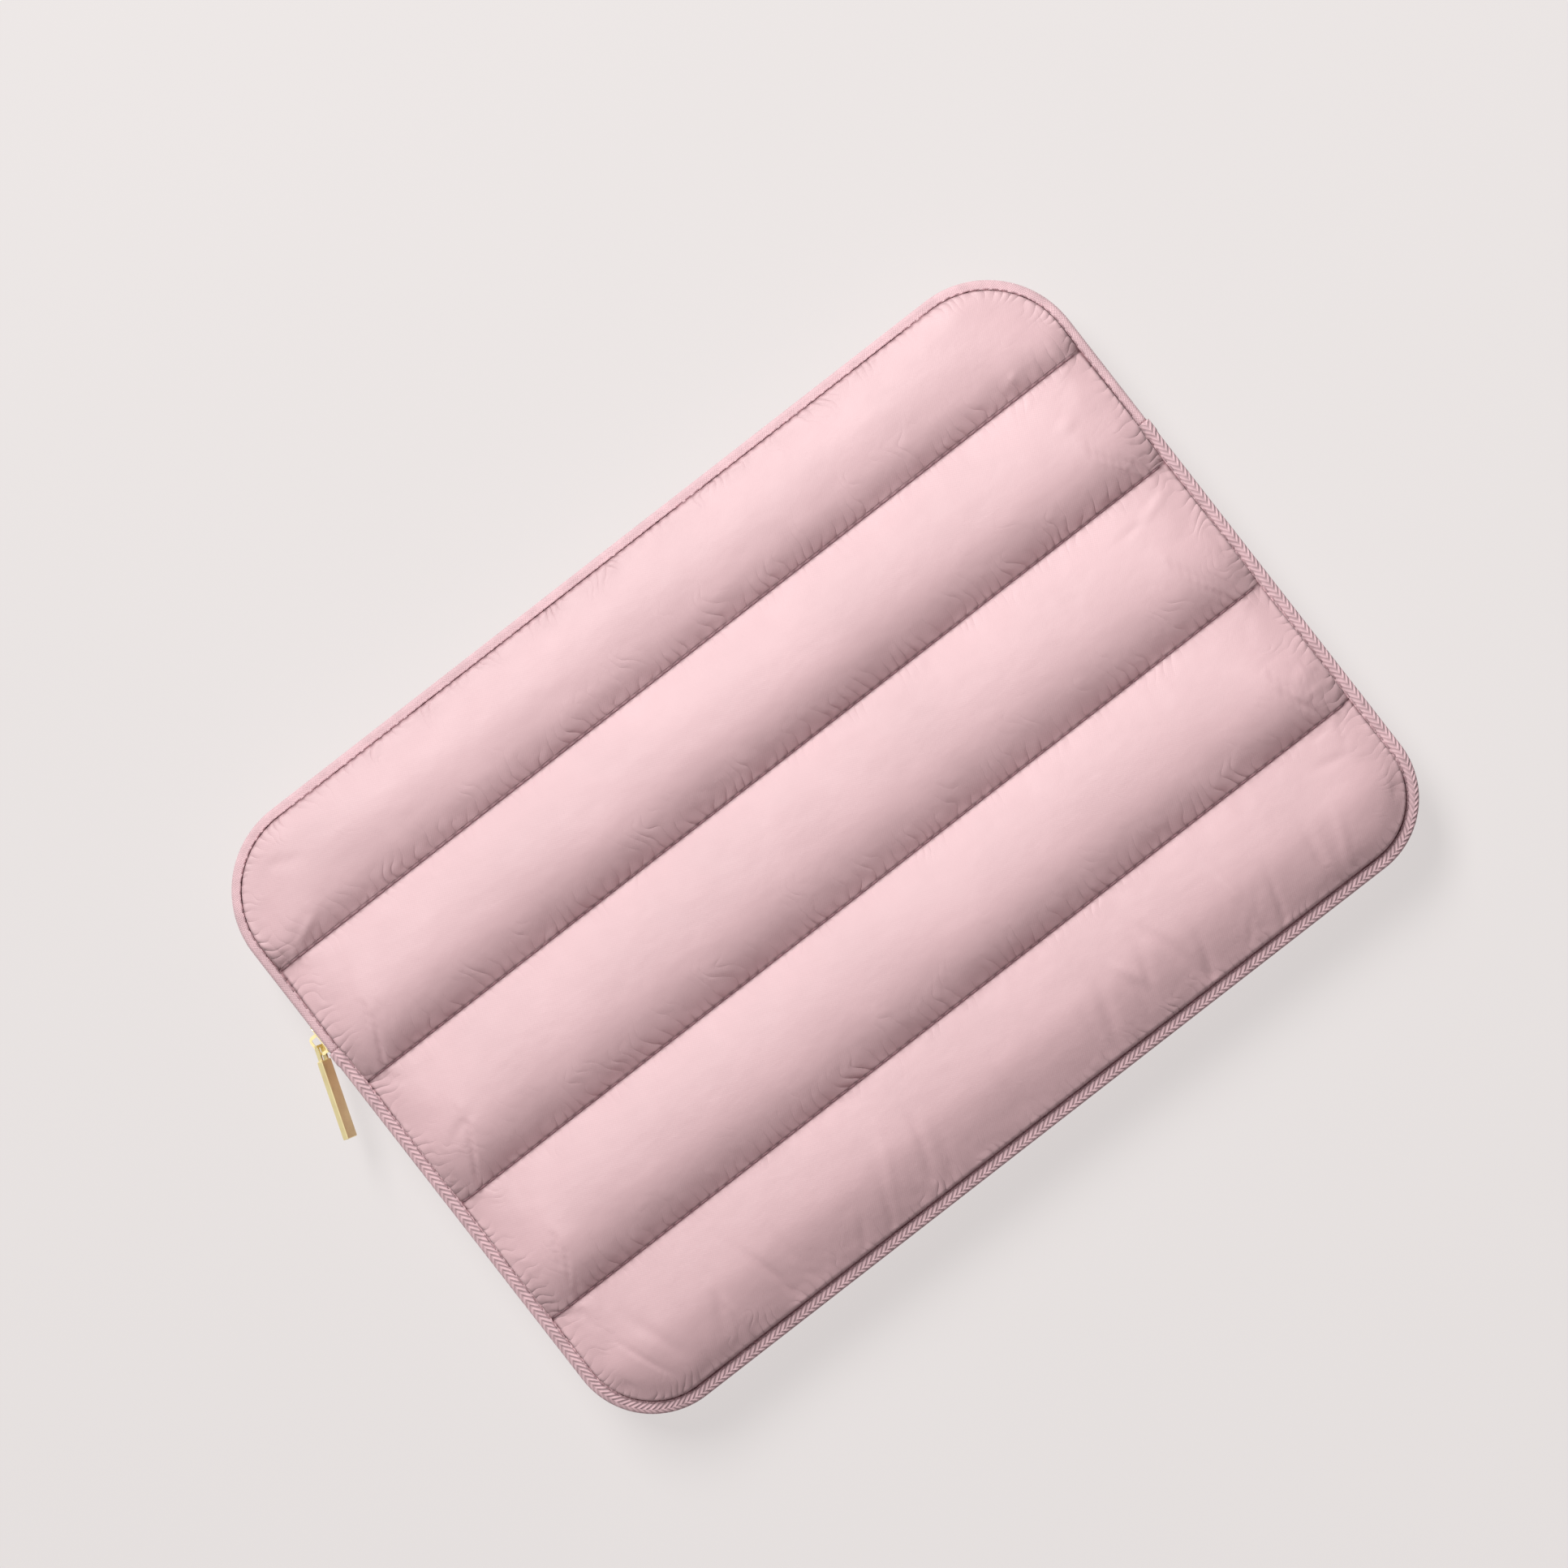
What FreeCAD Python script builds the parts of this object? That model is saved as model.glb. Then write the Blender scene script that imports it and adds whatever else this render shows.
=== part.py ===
import FreeCAD, Part
import math
import os

# Quilted laptop sleeve, lying flat on its back panel, in millimetres.
# +X runs along the long side, +Y points to the mouth, +Z up out of the front panel.
# The origin is on the resting face, in the middle of the sleeve.

V = FreeCAD.Vector

# ---------------------------------------------------------------- driving sizes
LENGTH = 340.0             # outside, over the edge tape
DEPTH = 240.0              # outside, closed edge to mouth
MOUTH_CORNER_R = 34.0      # outside radius of the two corners beside the mouth
CLOSED_CORNER_R = 29.0     # outside radius of the two sewn corners
QUILT_SEAMS = (75.5, 29.4, -20.8, -68.9)    # y of the four quilting seams, mouth first
POCKET_HALF = 8.5          # half the height of the pocket
PUFF_RISE = 7.0            # crown of a channel above its seams
ZIP_END_Y = 44.2           # both ends of the zip, on the short sides

# ---------------------------------------------------------------- layers of a panel
# Heights are above the middle plane of the sleeve.  Insets are from its outside edge.
TAPE_T = 0.7               # edge tape
CLOTH_T = 0.6              # shell and lining
FOAM_T = 3.0
EDGE_POCKET = 4.4          # half the gap between the two panels at their edges
EDGE_LINING = EDGE_POCKET + CLOTH_T
EDGE_FOAM = 6.2            # top of the foam where the seam squeezes it
EDGE_SHELL = EDGE_FOAM + CLOTH_T
EDGE_TOP = EDGE_SHELL + CLOTH_T
LINING_TOP = POCKET_HALF + CLOTH_T
FOAM_TOP = LINING_TOP + FOAM_T
FILL_TOP = FOAM_TOP + PUFF_RISE
SHELL_TOP = FILL_TOP + CLOTH_T
SEAM_INSET = 4.8           # where a panel starts to rise out of the edge seam
POCKET_INSET = 13.8        # where the pocket reaches its full height
FLATTENING = 1.2           # how far the sleeve's weight flattens the back channels
MID_Z = SHELL_TOP - FLATTENING
TAPE_WIDTH = 4.0           # edge tape on each face
CHANNEL_COUNT = len(QUILT_SEAMS) + 1
CHANNEL_EDGES = [DEPTH / 2 - TAPE_WIDTH, *QUILT_SEAMS, TAPE_WIDTH - DEPTH / 2]

# Each skin is a slope of (inset, height) points from the edge seam inwards.
POCKET_SKIN = [(SEAM_INSET, EDGE_POCKET), (POCKET_INSET, POCKET_HALF)]
LINING_SKIN = [(SEAM_INSET, EDGE_LINING), (POCKET_INSET, LINING_TOP)]
FOAM_SKIN = [(SEAM_INSET, EDGE_FOAM), (12.6, FOAM_TOP)]
FILL_SKIN = [(SEAM_INSET, EDGE_FOAM), (7.0, 10.0), (11.0, 14.0), (17.0, 17.3), (26.0, FILL_TOP)]
SHELL_SKIN = [(4.3, EDGE_SHELL), (6.5, 10.3), (10.6, 14.45), (16.7, 17.85), (25.9, SHELL_TOP)]

# ---------------------------------------------------------------- fold of the front panel
FOLD_Y = QUILT_SEAMS[1]    # the free half of the front panel folds up along this seam
FOLD_GAP = 0.2             # from the fold line to each half
BODY_GAP = 0.3             # kept between pieces that move apart
FLAP_START_Y = ZIP_END_Y + 0.7
THREAD_R = 0.3
THREAD_INSET = 14.8        # each quilting thread ends this far from the outside edge

# ---------------------------------------------------------------- zip
ZIP_TAPE = (1.55, 2.05)    # insets of the standing web of the zip tape
ZIP_FLANGE_LOW = 3.9       # the sewn flange lies from here to the lining
ZIP_TAPE_LOW = 0.9         # edge of the tape, inside the coil
COIL = (0.9, 2.7)          # insets of the coil's outer and inner face
COIL_Z = (0.6, 2.3)
ZIP_LIP = 1.4              # inset of the lip of tape that holds the zip's flange
ZIP_LAP = 0.1              # the lip wraps this far under the flange
ZIP_TUCK_Y = 41.0          # the zip tapes are tucked into the edge tape down to here
LEFT_SPLIT_Y = 58.1        # the front tape leaves the slider here and moves with the flap
RIGHT_SPLIT_Y = 49.8
SPLIT_GAP = 0.2
STITCH = (3.0, 3.5)        # insets of the stitching on the edge tape
STITCH_T = 0.3
SEWN_STITCH_TOP = ZIP_END_Y - 0.6      # y where the edge tape's stitching stops
MOUTH_STITCH_LOW = FLAP_START_Y + 0.4  # y where the narrow tape's stitching starts
TURNED_END = 5.0           # length of the edge tape's end that is turned under
TURNED_T = 0.3             # how far the turned end stands out
STOP_WALL = 0.3            # metal of a stop past the coil
BOTTOM_STOP_X = (0.75, 3.0)    # insets
BOTTOM_STOP_Y = (42.3, 43.9)
TOP_STOP_X = (0.6, 3.0)
TOP_STOP_Y = (45.3, 46.9)
TOP_STOP_LOW = 0.35

# ---------------------------------------------------------------- slider and pull
SLIDER_Y = (44.9, 55.4)
SLIDER_HALF = 3.4          # half width, across the zip
OUTER_PLATE = (-0.1, 0.6)  # insets
INNER_PLATE = (3.0, 3.7)
FLANGE_HALF = (2.6, 3.4)
FLANGE_SETBACK = 1.7       # from each end of the slider
PLATE_CORNER_R = 1.6
POST_HALF = 0.3
POST_Y = (51.2, 54.6)
BRIDGE_Y = (45.3, 52.7)
BRIDGE_HALF = 0.7
BRIDGE_HOLE = 2.6          # clear height under the bridge
BRIDGE_T = 0.8
BRIDGE_LEG = 1.1
BRIDGE_R = 1.8             # outside of the arch
BRIDGE_HOLE_R = 0.5        # inside of the arch
PIVOT_Y = 48.7
PIVOT_RISE = 1.7           # above the outer plate
PULL_LEAN = 19.0           # degrees from the side wall
PULL_TWIST = 27.0          # degrees about the pull's own length
PULL_LENGTH = 32.0         # from the pivot to the tip
PULL_WIDTH = 6.0
PULL_THICK = 2.0
EYE_WIDTH = 4.2
EYE_THICK = 1.4
EYE_SLOT_HALF = 1.25
EYE_END = 4.9              # from the pivot to the end of the eye's slot
CROSS_BAR = 0.9
EYE_LAP = 1.0              # the eye runs this far into the bar
PULL_CHAMFER = 0.25


# ---------------------------------------------------------------- plain helpers
def box(x, y, z):
    """Box from three (low, high) pairs."""
    return Part.makeBox(x[1] - x[0], y[1] - y[0], z[1] - z[0], V(x[0], y[0], z[0]))


def outline(inset, z=0.0):
    """Rounded outline of the sleeve, inset from its outside edge."""
    half_x = LENGTH / 2 - inset
    half_y = DEPTH / 2 - inset
    mouth_r = MOUTH_CORNER_R - inset
    closed_r = CLOSED_CORNER_R - inset
    corners = [
        (half_x - mouth_r, half_y - mouth_r, mouth_r),
        (mouth_r - half_x, half_y - mouth_r, mouth_r),
        (closed_r - half_x, closed_r - half_y, closed_r),
        (half_x - closed_r, closed_r - half_y, closed_r),
    ]
    arcs = []
    for quarter, (x, y, radius) in enumerate(corners):
        start = quarter * math.pi / 2
        circle = Part.Circle(V(x, y, z), V(0, 0, 1), radius)
        arcs.append(Part.ArcOfCircle(circle, start, start + math.pi / 2))
    edges = []
    for arc, following in zip(arcs, arcs[1:] + arcs[:1]):
        edges.append(arc.toShape())
        edges.append(Part.LineSegment(arc.EndPoint, following.StartPoint).toShape())
    return Part.Wire(edges)


def prism(inset, low, high):
    """Upright solid inside the outline."""
    return Part.Face(outline(inset, low)).extrude(V(0, 0, high - low))


def ring(insets, heights):
    """Upright band between two insets."""
    outer, inner = insets
    return prism(outer, *heights).cut(prism(inner, *heights))


def mound(skin):
    """Solid from the middle plane up to a sloping skin of (inset, height) points."""
    levels = [(skin[0][0], 0.0)] + list(skin)
    return Part.makeLoft([outline(inset, z) for inset, z in levels], True, True)


def tray(skin):
    """A mound on a rim that reaches under the edge tape."""
    return prism(TAPE_T, 0.0, skin[0][1]).fuse(mound(skin)).removeSplitter()


def above(shape, y):
    return shape.common(box((-LENGTH, LENGTH), (y, DEPTH), (-DEPTH, DEPTH)))


def below(shape, y):
    return shape.common(box((-LENGTH, LENGTH), (-DEPTH, y), (-DEPTH, DEPTH)))


def left(shape):
    return shape.common(box((-LENGTH, 0), (-DEPTH, DEPTH), (-DEPTH, DEPTH)))


def right(shape):
    return shape.common(box((0, LENGTH), (-DEPTH, DEPTH), (-DEPTH, DEPTH)))


def front(shape):
    """Put a shape built above the middle plane on the front panel."""
    return shape.translated(V(0, 0, MID_Z))


def back(shape):
    """Put a shape built above the middle plane on the back panel."""
    return shape.mirror(V(0, 0, 0), V(0, 0, 1)).translated(V(0, 0, MID_Z))


# ---------------------------------------------------------------- quilted panels
def arch(y_low, y_high, skin):
    """Centre height, seam height and crown height of one channel, grown by a skin."""
    half = (y_high - y_low) / 2
    radius = (half ** 2 + PUFF_RISE ** 2) / (2 * PUFF_RISE)
    centre_z = FILL_TOP - radius
    seam_z = centre_z + math.sqrt((radius + skin) ** 2 - half ** 2)
    return seam_z, centre_z + radius + skin


def channel(number, skin):
    """Solid under one puffed channel, running the whole length."""
    y_high, y_low = CHANNEL_EDGES[number - 1:number + 1]
    seam_z, crown_z = arch(y_low, y_high, skin)
    x = -LENGTH / 2
    low, high = V(x, y_low, seam_z), V(x, y_high, seam_z)
    crown = V(x, (y_low + y_high) / 2, crown_z)
    foot_low, foot_high = V(x, y_low, 0), V(x, y_high, 0)
    edges = [
        Part.Arc(low, crown, high).toShape(),
        Part.LineSegment(high, foot_high).toShape(),
        Part.LineSegment(foot_high, foot_low).toShape(),
        Part.LineSegment(foot_low, low).toShape(),
    ]
    return Part.Face(Part.Wire(edges)).extrude(V(LENGTH, 0, 0))


def puffs(skin):
    channels = [channel(number, skin) for number in range(1, CHANNEL_COUNT + 1)]
    return channels[0].multiFuse(channels[1:])


def panel(ceiling):
    """Every layer of one panel, above the middle plane, pressed flat at the ceiling."""
    pocket = tray(POCKET_SKIN)
    lining = tray(LINING_SKIN)
    foam = tray(FOAM_SKIN)
    outside = puffs(CLOTH_T).common(mound(SHELL_SKIN)).fuse(prism(TAPE_T, 0.0, EDGE_SHELL))
    inside = puffs(0.0).common(mound(FILL_SKIN)).fuse(foam)
    outside = outside.common(prism(0.0, 0.0, ceiling))
    inside = inside.common(prism(0.0, 0.0, ceiling - CLOTH_T))
    fills = []
    for number in range(1, CHANNEL_COUNT + 1):
        fill = channel(number, 0.0).common(mound(FILL_SKIN)).cut(foam)
        fills.append(fill.common(prism(0.0, 0.0, ceiling - CLOTH_T)))
    return {
        "shell": outside.cut(inside).removeSplitter(),
        "fills": fills,
        "foam": foam.cut(lining),
        "lining": lining.cut(pocket),
    }


def thread_height(y):
    """Height of the middle of the thread lying in a quilting seam."""
    number = QUILT_SEAMS.index(y) + 1
    y_low, y_high = CHANNEL_EDGES[number + 1], CHANNEL_EDGES[number]
    half = (y_high - y_low) / 2
    seam_z = arch(y_low, y_high, CLOTH_T)[0]
    radius = (half ** 2 + PUFF_RISE ** 2) / (2 * PUFF_RISE)
    return seam_z + (THREAD_R + BODY_GAP) * radius / math.sqrt(radius ** 2 - half ** 2)


def quilt_thread(y):
    """The line of stitching in a quilting seam."""
    start = V(THREAD_INSET - LENGTH / 2, y, thread_height(y))
    return Part.makeCylinder(THREAD_R, -2 * start.x, start, V(1, 0, 0))


def clear_of_edge_tape(shape):
    """Cut the flap back beside the sewn edge, which stays with the sleeve."""
    half = LENGTH / 2 - TAPE_WIDTH - BODY_GAP
    for side in ((-LENGTH, -half), (half, LENGTH)):
        shape = shape.cut(box(side, (-DEPTH, FLAP_START_Y), (-DEPTH, DEPTH)))
    return shape


def flap_half(shape):
    return clear_of_edge_tape(above(shape, FOLD_Y + FOLD_GAP))


# ---------------------------------------------------------------- edge tapes
def edge_binding():
    """Herringbone tape folded round the three sewn sides."""
    tape = ring((0.0, TAPE_T), (-EDGE_TOP, EDGE_TOP))
    for low, high in ((EDGE_SHELL, EDGE_TOP), (-EDGE_TOP, -EDGE_SHELL)):
        tape = tape.fuse(ring((0.0, TAPE_WIDTH), (low, high)))
    tape = below(tape, ZIP_END_Y)
    turned = ring((-TURNED_T, 0.0), (-EDGE_TOP, EDGE_TOP))
    turned = below(above(turned, ZIP_END_Y - TURNED_END), ZIP_END_Y)
    return tape.fuse(turned).removeSplitter().translated(V(0, 0, MID_Z))


def mouth_binding():
    """Narrow tape folded round a panel's edge beside the zip."""
    web = ring((0.0, TAPE_T), (ZIP_FLANGE_LOW - ZIP_LAP, EDGE_TOP))
    face = ring((0.0, TAPE_WIDTH), (EDGE_SHELL, EDGE_TOP))
    lip = ring((0.0, ZIP_LIP), (ZIP_FLANGE_LOW - ZIP_LAP, EDGE_POCKET))
    return web.fuse(face).fuse(lip).removeSplitter()


def stitching():
    return ring(STITCH, (EDGE_TOP, EDGE_TOP + STITCH_T))


# ---------------------------------------------------------------- zip
def zip_tape():
    """Standing web of the zip tape with its sewn flange under the lining."""
    web = ring(ZIP_TAPE, (ZIP_TAPE_LOW, EDGE_POCKET))
    flange = ring((ZIP_TAPE[0], SEAM_INSET), (ZIP_FLANGE_LOW, EDGE_POCKET))
    return web.fuse(flange).removeSplitter()


def zip_web():
    """The tape's web alone, where it runs through the slider."""
    return ring(ZIP_TAPE, (ZIP_TAPE_LOW, ZIP_FLANGE_LOW - ZIP_LAP - BODY_GAP))


def coil():
    return ring(COIL, COIL_Z).cut(ring(ZIP_TAPE, (ZIP_TAPE_LOW, EDGE_POCKET)))


def zip_flap_part(shape):
    """The stretch of the front zip that lifts with the flap."""
    shape = above(shape, RIGHT_SPLIT_Y + SPLIT_GAP)
    upper_left = above(left(shape), LEFT_SPLIT_Y + SPLIT_GAP)
    return upper_left.fuse(right(shape)).removeSplitter()


def zip_end_part(shape):
    """The two ends of the front zip, held at the edge tape."""
    ends = []
    for side, top in ((left(shape), LEFT_SPLIT_Y), (right(shape), RIGHT_SPLIT_Y)):
        ends.append(below(above(side, ZIP_TUCK_Y), top - SPLIT_GAP))
    return Part.makeCompound(ends)


def bottom_stop():
    """Clip across both coils at the end where the slider rests."""
    half = COIL_Z[1] + STOP_WALL
    x = [inset - LENGTH / 2 for inset in BOTTOM_STOP_X]
    clip = box(x, BOTTOM_STOP_Y, (-half, half))
    for half_coil in (coil(), coil().mirror(V(0, 0, 0), V(0, 0, 1))):
        clip = clip.cut(half_coil)
    web = ring(ZIP_TAPE, (ZIP_TAPE_LOW, EDGE_POCKET))
    clip = clip.cut(web).cut(web.mirror(V(0, 0, 0), V(0, 0, 1)))
    return clip.translated(V(0, 0, MID_Z))


def top_stops():
    """A clip on each coil at the other end."""
    near, far = TOP_STOP_X
    x = (LENGTH / 2 - far, LENGTH / 2 - near)
    clip = box(x, TOP_STOP_Y, (TOP_STOP_LOW, COIL_Z[1] + STOP_WALL))
    clip = clip.cut(coil()).cut(ring(ZIP_TAPE, (ZIP_TAPE_LOW, EDGE_POCKET)))
    return Part.makeCompound([front(clip), back(clip)])


# ---------------------------------------------------------------- slider and pull
def rounded_plate(insets):
    """Plate of the slider, across the left side wall."""
    x = [inset - LENGTH / 2 for inset in insets]
    plate = box(x, SLIDER_Y, (-SLIDER_HALF, SLIDER_HALF))
    corners = [edge for edge in plate.Edges if abs(edge.tangentAt(0).x) > 0.9]
    return plate.makeFillet(PLATE_CORNER_R, corners)


def slider_body():
    """Two plates with side flanges, joined by the post that parts the coils."""
    body = rounded_plate(OUTER_PLATE).fuse(rounded_plate(INNER_PLATE))
    y = (SLIDER_Y[0] + FLANGE_SETBACK, SLIDER_Y[1] - FLANGE_SETBACK)
    slot = (ZIP_TAPE[0] - BODY_GAP, ZIP_TAPE[1] + BODY_GAP)
    for insets in ((OUTER_PLATE[1], slot[0]), (slot[1], INNER_PLATE[0])):
        x = [inset - LENGTH / 2 for inset in insets]
        body = body.fuse(box(x, y, FLANGE_HALF))
        body = body.fuse(box(x, y, (-FLANGE_HALF[1], -FLANGE_HALF[0])))
    x = (OUTER_PLATE[1] - LENGTH / 2, INNER_PLATE[0] - LENGTH / 2)
    body = body.fuse(box(x, POST_Y, (-POST_HALF, POST_HALF)))
    return body.removeSplitter().translated(V(0, 0, MID_Z))


def slider_bridge():
    """Arch on the outer plate that holds the pull."""
    foot = OUTER_PLATE[0] - LENGTH / 2
    rise = BRIDGE_HOLE + BRIDGE_T
    body = box((foot - rise, foot), BRIDGE_Y, (-BRIDGE_HALF, BRIDGE_HALF))
    crown = [edge for edge in body.Edges
             if abs(edge.tangentAt(0).z) > 0.9 and edge.CenterOfMass.x < foot - rise / 2]
    body = body.makeFillet(BRIDGE_R, crown)
    hole = box((foot - BRIDGE_HOLE, foot), (BRIDGE_Y[0] + BRIDGE_LEG, BRIDGE_Y[1] - BRIDGE_LEG),
               (-2 * BRIDGE_HALF, 2 * BRIDGE_HALF))
    ceiling = [edge for edge in hole.Edges
               if abs(edge.tangentAt(0).z) > 0.9 and edge.CenterOfMass.x < foot - BRIDGE_HOLE / 2]
    hole = hole.makeFillet(BRIDGE_HOLE_R, ceiling)
    return body.cut(hole).translated(V(0, 0, MID_Z))


def pull_pivot():
    return V(OUTER_PLATE[0] - LENGTH / 2 - PIVOT_RISE, PIVOT_Y, MID_Z)


def pull_bar():
    """Flat bar with an eye, hung from the bridge, leaning off the side wall."""
    half_t, half_w = PULL_THICK / 2, PULL_WIDTH / 2
    bar = box((-half_t, half_t), (-PULL_LENGTH, -EYE_END), (-half_w, half_w))
    bar = bar.makeChamfer(PULL_CHAMFER, bar.Edges)
    half_t, half_w = EYE_THICK / 2, EYE_WIDTH / 2
    eye = box((-half_t, half_t), (-EYE_END - EYE_LAP, CROSS_BAR / 2), (-half_w, half_w))
    slot = box((-half_t, half_t), (-EYE_END, -CROSS_BAR / 2), (-EYE_SLOT_HALF, EYE_SLOT_HALF))
    eye = eye.cut(slot)
    for x in ((-half_t, -CROSS_BAR / 2), (CROSS_BAR / 2, half_t)):
        eye = eye.cut(box(x, (-CROSS_BAR / 2, CROSS_BAR / 2), (-half_w, half_w)))
    pull = bar.fuse(eye).removeSplitter()
    pull.rotate(V(0, 0, 0), V(0, 1, 0), -PULL_TWIST)
    pull.rotate(V(0, 0, 0), V(0, 0, 1), -PULL_LEAN)
    return pull.translated(pull_pivot())


# ---------------------------------------------------------------- the sleeve
def build():
    nodes = {}

    rear = panel(MID_Z)
    nodes["back_shell"] = back(rear["shell"])
    nodes["back_foam"] = back(rear["foam"])
    nodes["back_lining"] = back(rear["lining"])
    for number, fill in enumerate(rear["fills"], 1):
        nodes[f"back_fill_{number}"] = back(fill)
    for number, y in enumerate(QUILT_SEAMS, 1):
        nodes[f"back_quilt_thread_{number}"] = back(quilt_thread(y))

    face = panel(SHELL_TOP)
    for layer in ("shell", "foam", "lining"):
        nodes[f"front_{layer}_lower"] = front(below(face[layer], FOLD_Y - FOLD_GAP))
        nodes[f"front_{layer}_flap"] = front(flap_half(face[layer]))
    for number, fill in enumerate(face["fills"], 1):
        if number <= 2:
            fill = flap_half(fill)
        else:
            fill = below(fill, FOLD_Y - FOLD_GAP)
        nodes[f"front_fill_{number}"] = front(fill)
    for number, y in enumerate(QUILT_SEAMS, 1):
        nodes[f"front_quilt_thread_{number}"] = front(quilt_thread(y))

    nodes["edge_binding"] = edge_binding()
    nodes["edge_stitching_front"] = front(below(stitching(), SEWN_STITCH_TOP))
    nodes["edge_stitching_back"] = back(below(stitching(), SEWN_STITCH_TOP))
    nodes["mouth_binding_front"] = front(above(mouth_binding(), FLAP_START_Y))
    nodes["mouth_binding_back"] = back(above(mouth_binding(), ZIP_END_Y))
    nodes["mouth_stitching_front"] = front(above(stitching(), MOUTH_STITCH_LOW))
    nodes["mouth_stitching_back"] = back(above(stitching(), MOUTH_STITCH_LOW))

    nodes["zip_tape_front"] = front(zip_flap_part(zip_tape()))
    nodes["zip_tape_front_ends"] = front(zip_end_part(zip_web()))
    nodes["zip_tape_back"] = back(above(zip_tape(), ZIP_TUCK_Y))
    nodes["zip_coil_front"] = front(zip_flap_part(coil()))
    nodes["zip_coil_front_ends"] = front(zip_end_part(coil()))
    nodes["zip_coil_back"] = back(above(coil(), ZIP_TUCK_Y))
    nodes["zip_bottom_stop"] = bottom_stop()
    nodes["zip_top_stops"] = top_stops()

    nodes["slider_body"] = slider_body()
    nodes["slider_bridge"] = slider_bridge()
    nodes["pull_bar"] = pull_bar()
    return nodes


def main():
    os.makedirs("parts", exist_ok=True)
    nodes = build()
    for name, shape in nodes.items():
        solids = shape.Solids
        if not shape.isValid() or not solids:
            raise ValueError(f"{name} is not a sound solid")
        clean = solids[0] if len(solids) == 1 else Part.makeCompound(solids)
        clean.exportStep(f"parts/{name}.step")
        bounds = clean.BoundBox
        print(f"{name:24s} {len(solids)} solid(s)  {clean.Volume / 1000:8.2f} cm3"
              f"  z {bounds.ZMin:6.2f} to {bounds.ZMax:6.2f}")
    whole = Part.makeCompound(list(nodes.values())).BoundBox
    fold_z = MID_Z + thread_height(FOLD_Y)
    print(f"{len(nodes)} nodes, overall {whole.XLength:.1f} x {whole.YLength:.1f} x {whole.ZLength:.1f}")
    print(f"middle plane {MID_Z:.2f}, fold line y {FOLD_Y} z {fold_z:.3f}, pull pivot {pull_pivot()}")


main()
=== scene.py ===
import math

import bmesh
import bpy
import numpy as np
from mathutils import Matrix, Vector


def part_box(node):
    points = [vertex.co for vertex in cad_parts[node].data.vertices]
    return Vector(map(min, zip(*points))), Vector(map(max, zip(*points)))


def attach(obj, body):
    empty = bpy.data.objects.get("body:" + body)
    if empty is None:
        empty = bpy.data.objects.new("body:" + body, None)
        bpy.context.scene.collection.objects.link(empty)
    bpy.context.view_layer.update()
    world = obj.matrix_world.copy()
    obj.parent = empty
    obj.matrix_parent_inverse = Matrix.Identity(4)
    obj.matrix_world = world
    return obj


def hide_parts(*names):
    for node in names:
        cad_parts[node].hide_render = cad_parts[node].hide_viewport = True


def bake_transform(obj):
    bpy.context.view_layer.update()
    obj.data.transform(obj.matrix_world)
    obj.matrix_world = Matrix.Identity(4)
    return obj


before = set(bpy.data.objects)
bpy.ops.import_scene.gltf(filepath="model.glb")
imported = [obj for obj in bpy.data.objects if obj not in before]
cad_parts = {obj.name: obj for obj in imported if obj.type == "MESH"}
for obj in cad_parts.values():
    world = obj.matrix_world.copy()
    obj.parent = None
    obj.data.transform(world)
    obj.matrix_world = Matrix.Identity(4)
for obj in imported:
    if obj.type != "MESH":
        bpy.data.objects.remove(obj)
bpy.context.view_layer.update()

# A quilted laptop sleeve lying on its back panel.  The frame is in metres; everything below
# is worked out in millimetres, and MM turns one into the other.
MM = 0.001


# ---- sizes read from the frame
def node_box(name):
    """Lowest and highest corner of a CAD node, in millimetres."""
    low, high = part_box(name)
    return np.array(low) / MM, np.array(high) / MM


def middle(name, axis):
    low, high = node_box(name)
    return float(low[axis] + high[axis]) / 2


HALF_X, HALF_Y = node_box("mouth_binding_back")[1][:2]
MID_Z = middle("slider_body", 2)
TAPE_TOP = node_box("edge_binding")[1][2] - MID_Z
CROWN = node_box("front_shell_lower")[1][2] - MID_Z
FOAM_TOP = node_box("front_foam_lower")[1][2] - MID_Z
LINING_TOP = node_box("front_lining_lower")[1][2] - MID_Z
SHELL_LOW = node_box("front_shell_lower")[0][2] - MID_Z
SEAMS = [middle(f"front_quilt_thread_{number}", 1) for number in (1, 2, 3, 4)]
ZIP_END_Y = node_box("edge_binding")[1][1]

MOUTH_R = 34.0  # outside radius of the corners beside the mouth
CLOSED_R = 29.0  # outside radius of the sewn corners
TAPE_WIDTH = 4.0  # tape beside the zip, on each face
SEWN_TAPE_WIDTH = 4.4  # herringbone tape on each face
CLOTH = 0.6  # thickness of the shell and the lining
SEAM_SINK = 0.4  # how deep a quilting seam presses the foam
SEAM_Z = FOAM_TOP - SEAM_SINK + CLOTH  # the shell at a quilting seam, above the middle plane
EDGE_SHELL = SHELL_LOW + CLOTH  # and where it goes under the edge tape
STITCH_PITCH = 3.6
STITCH_RUN = 2.7  # length of thread that shows in each stitch
QUILT_REACH = HALF_X - TAPE_WIDTH - 1.5  # the quilting seams' stitches start this far out

# ---- small maths
TABLE_SIZE = 4096
ROW_SHIFT = 37.31  # keeps the rows of the plane noise from looking alike
rng_tables = {}


def smooth(t):
    return t * t * (3.0 - 2.0 * t)


def ramp(value, low, high):
    """Smooth step from 0 at low to 1 at high."""
    return smooth(np.clip((value - low) / (high - low), 0.0, 1.0))


def quarter_wave(value, start, run):
    """Quarter of a sine wave, from 0 at a start to 1 a run further on."""
    return np.sin(np.clip((value - start) / run, 0, 1) * math.pi / 2)


def mix(a, b, t):
    return a + (b - a) * t


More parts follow.
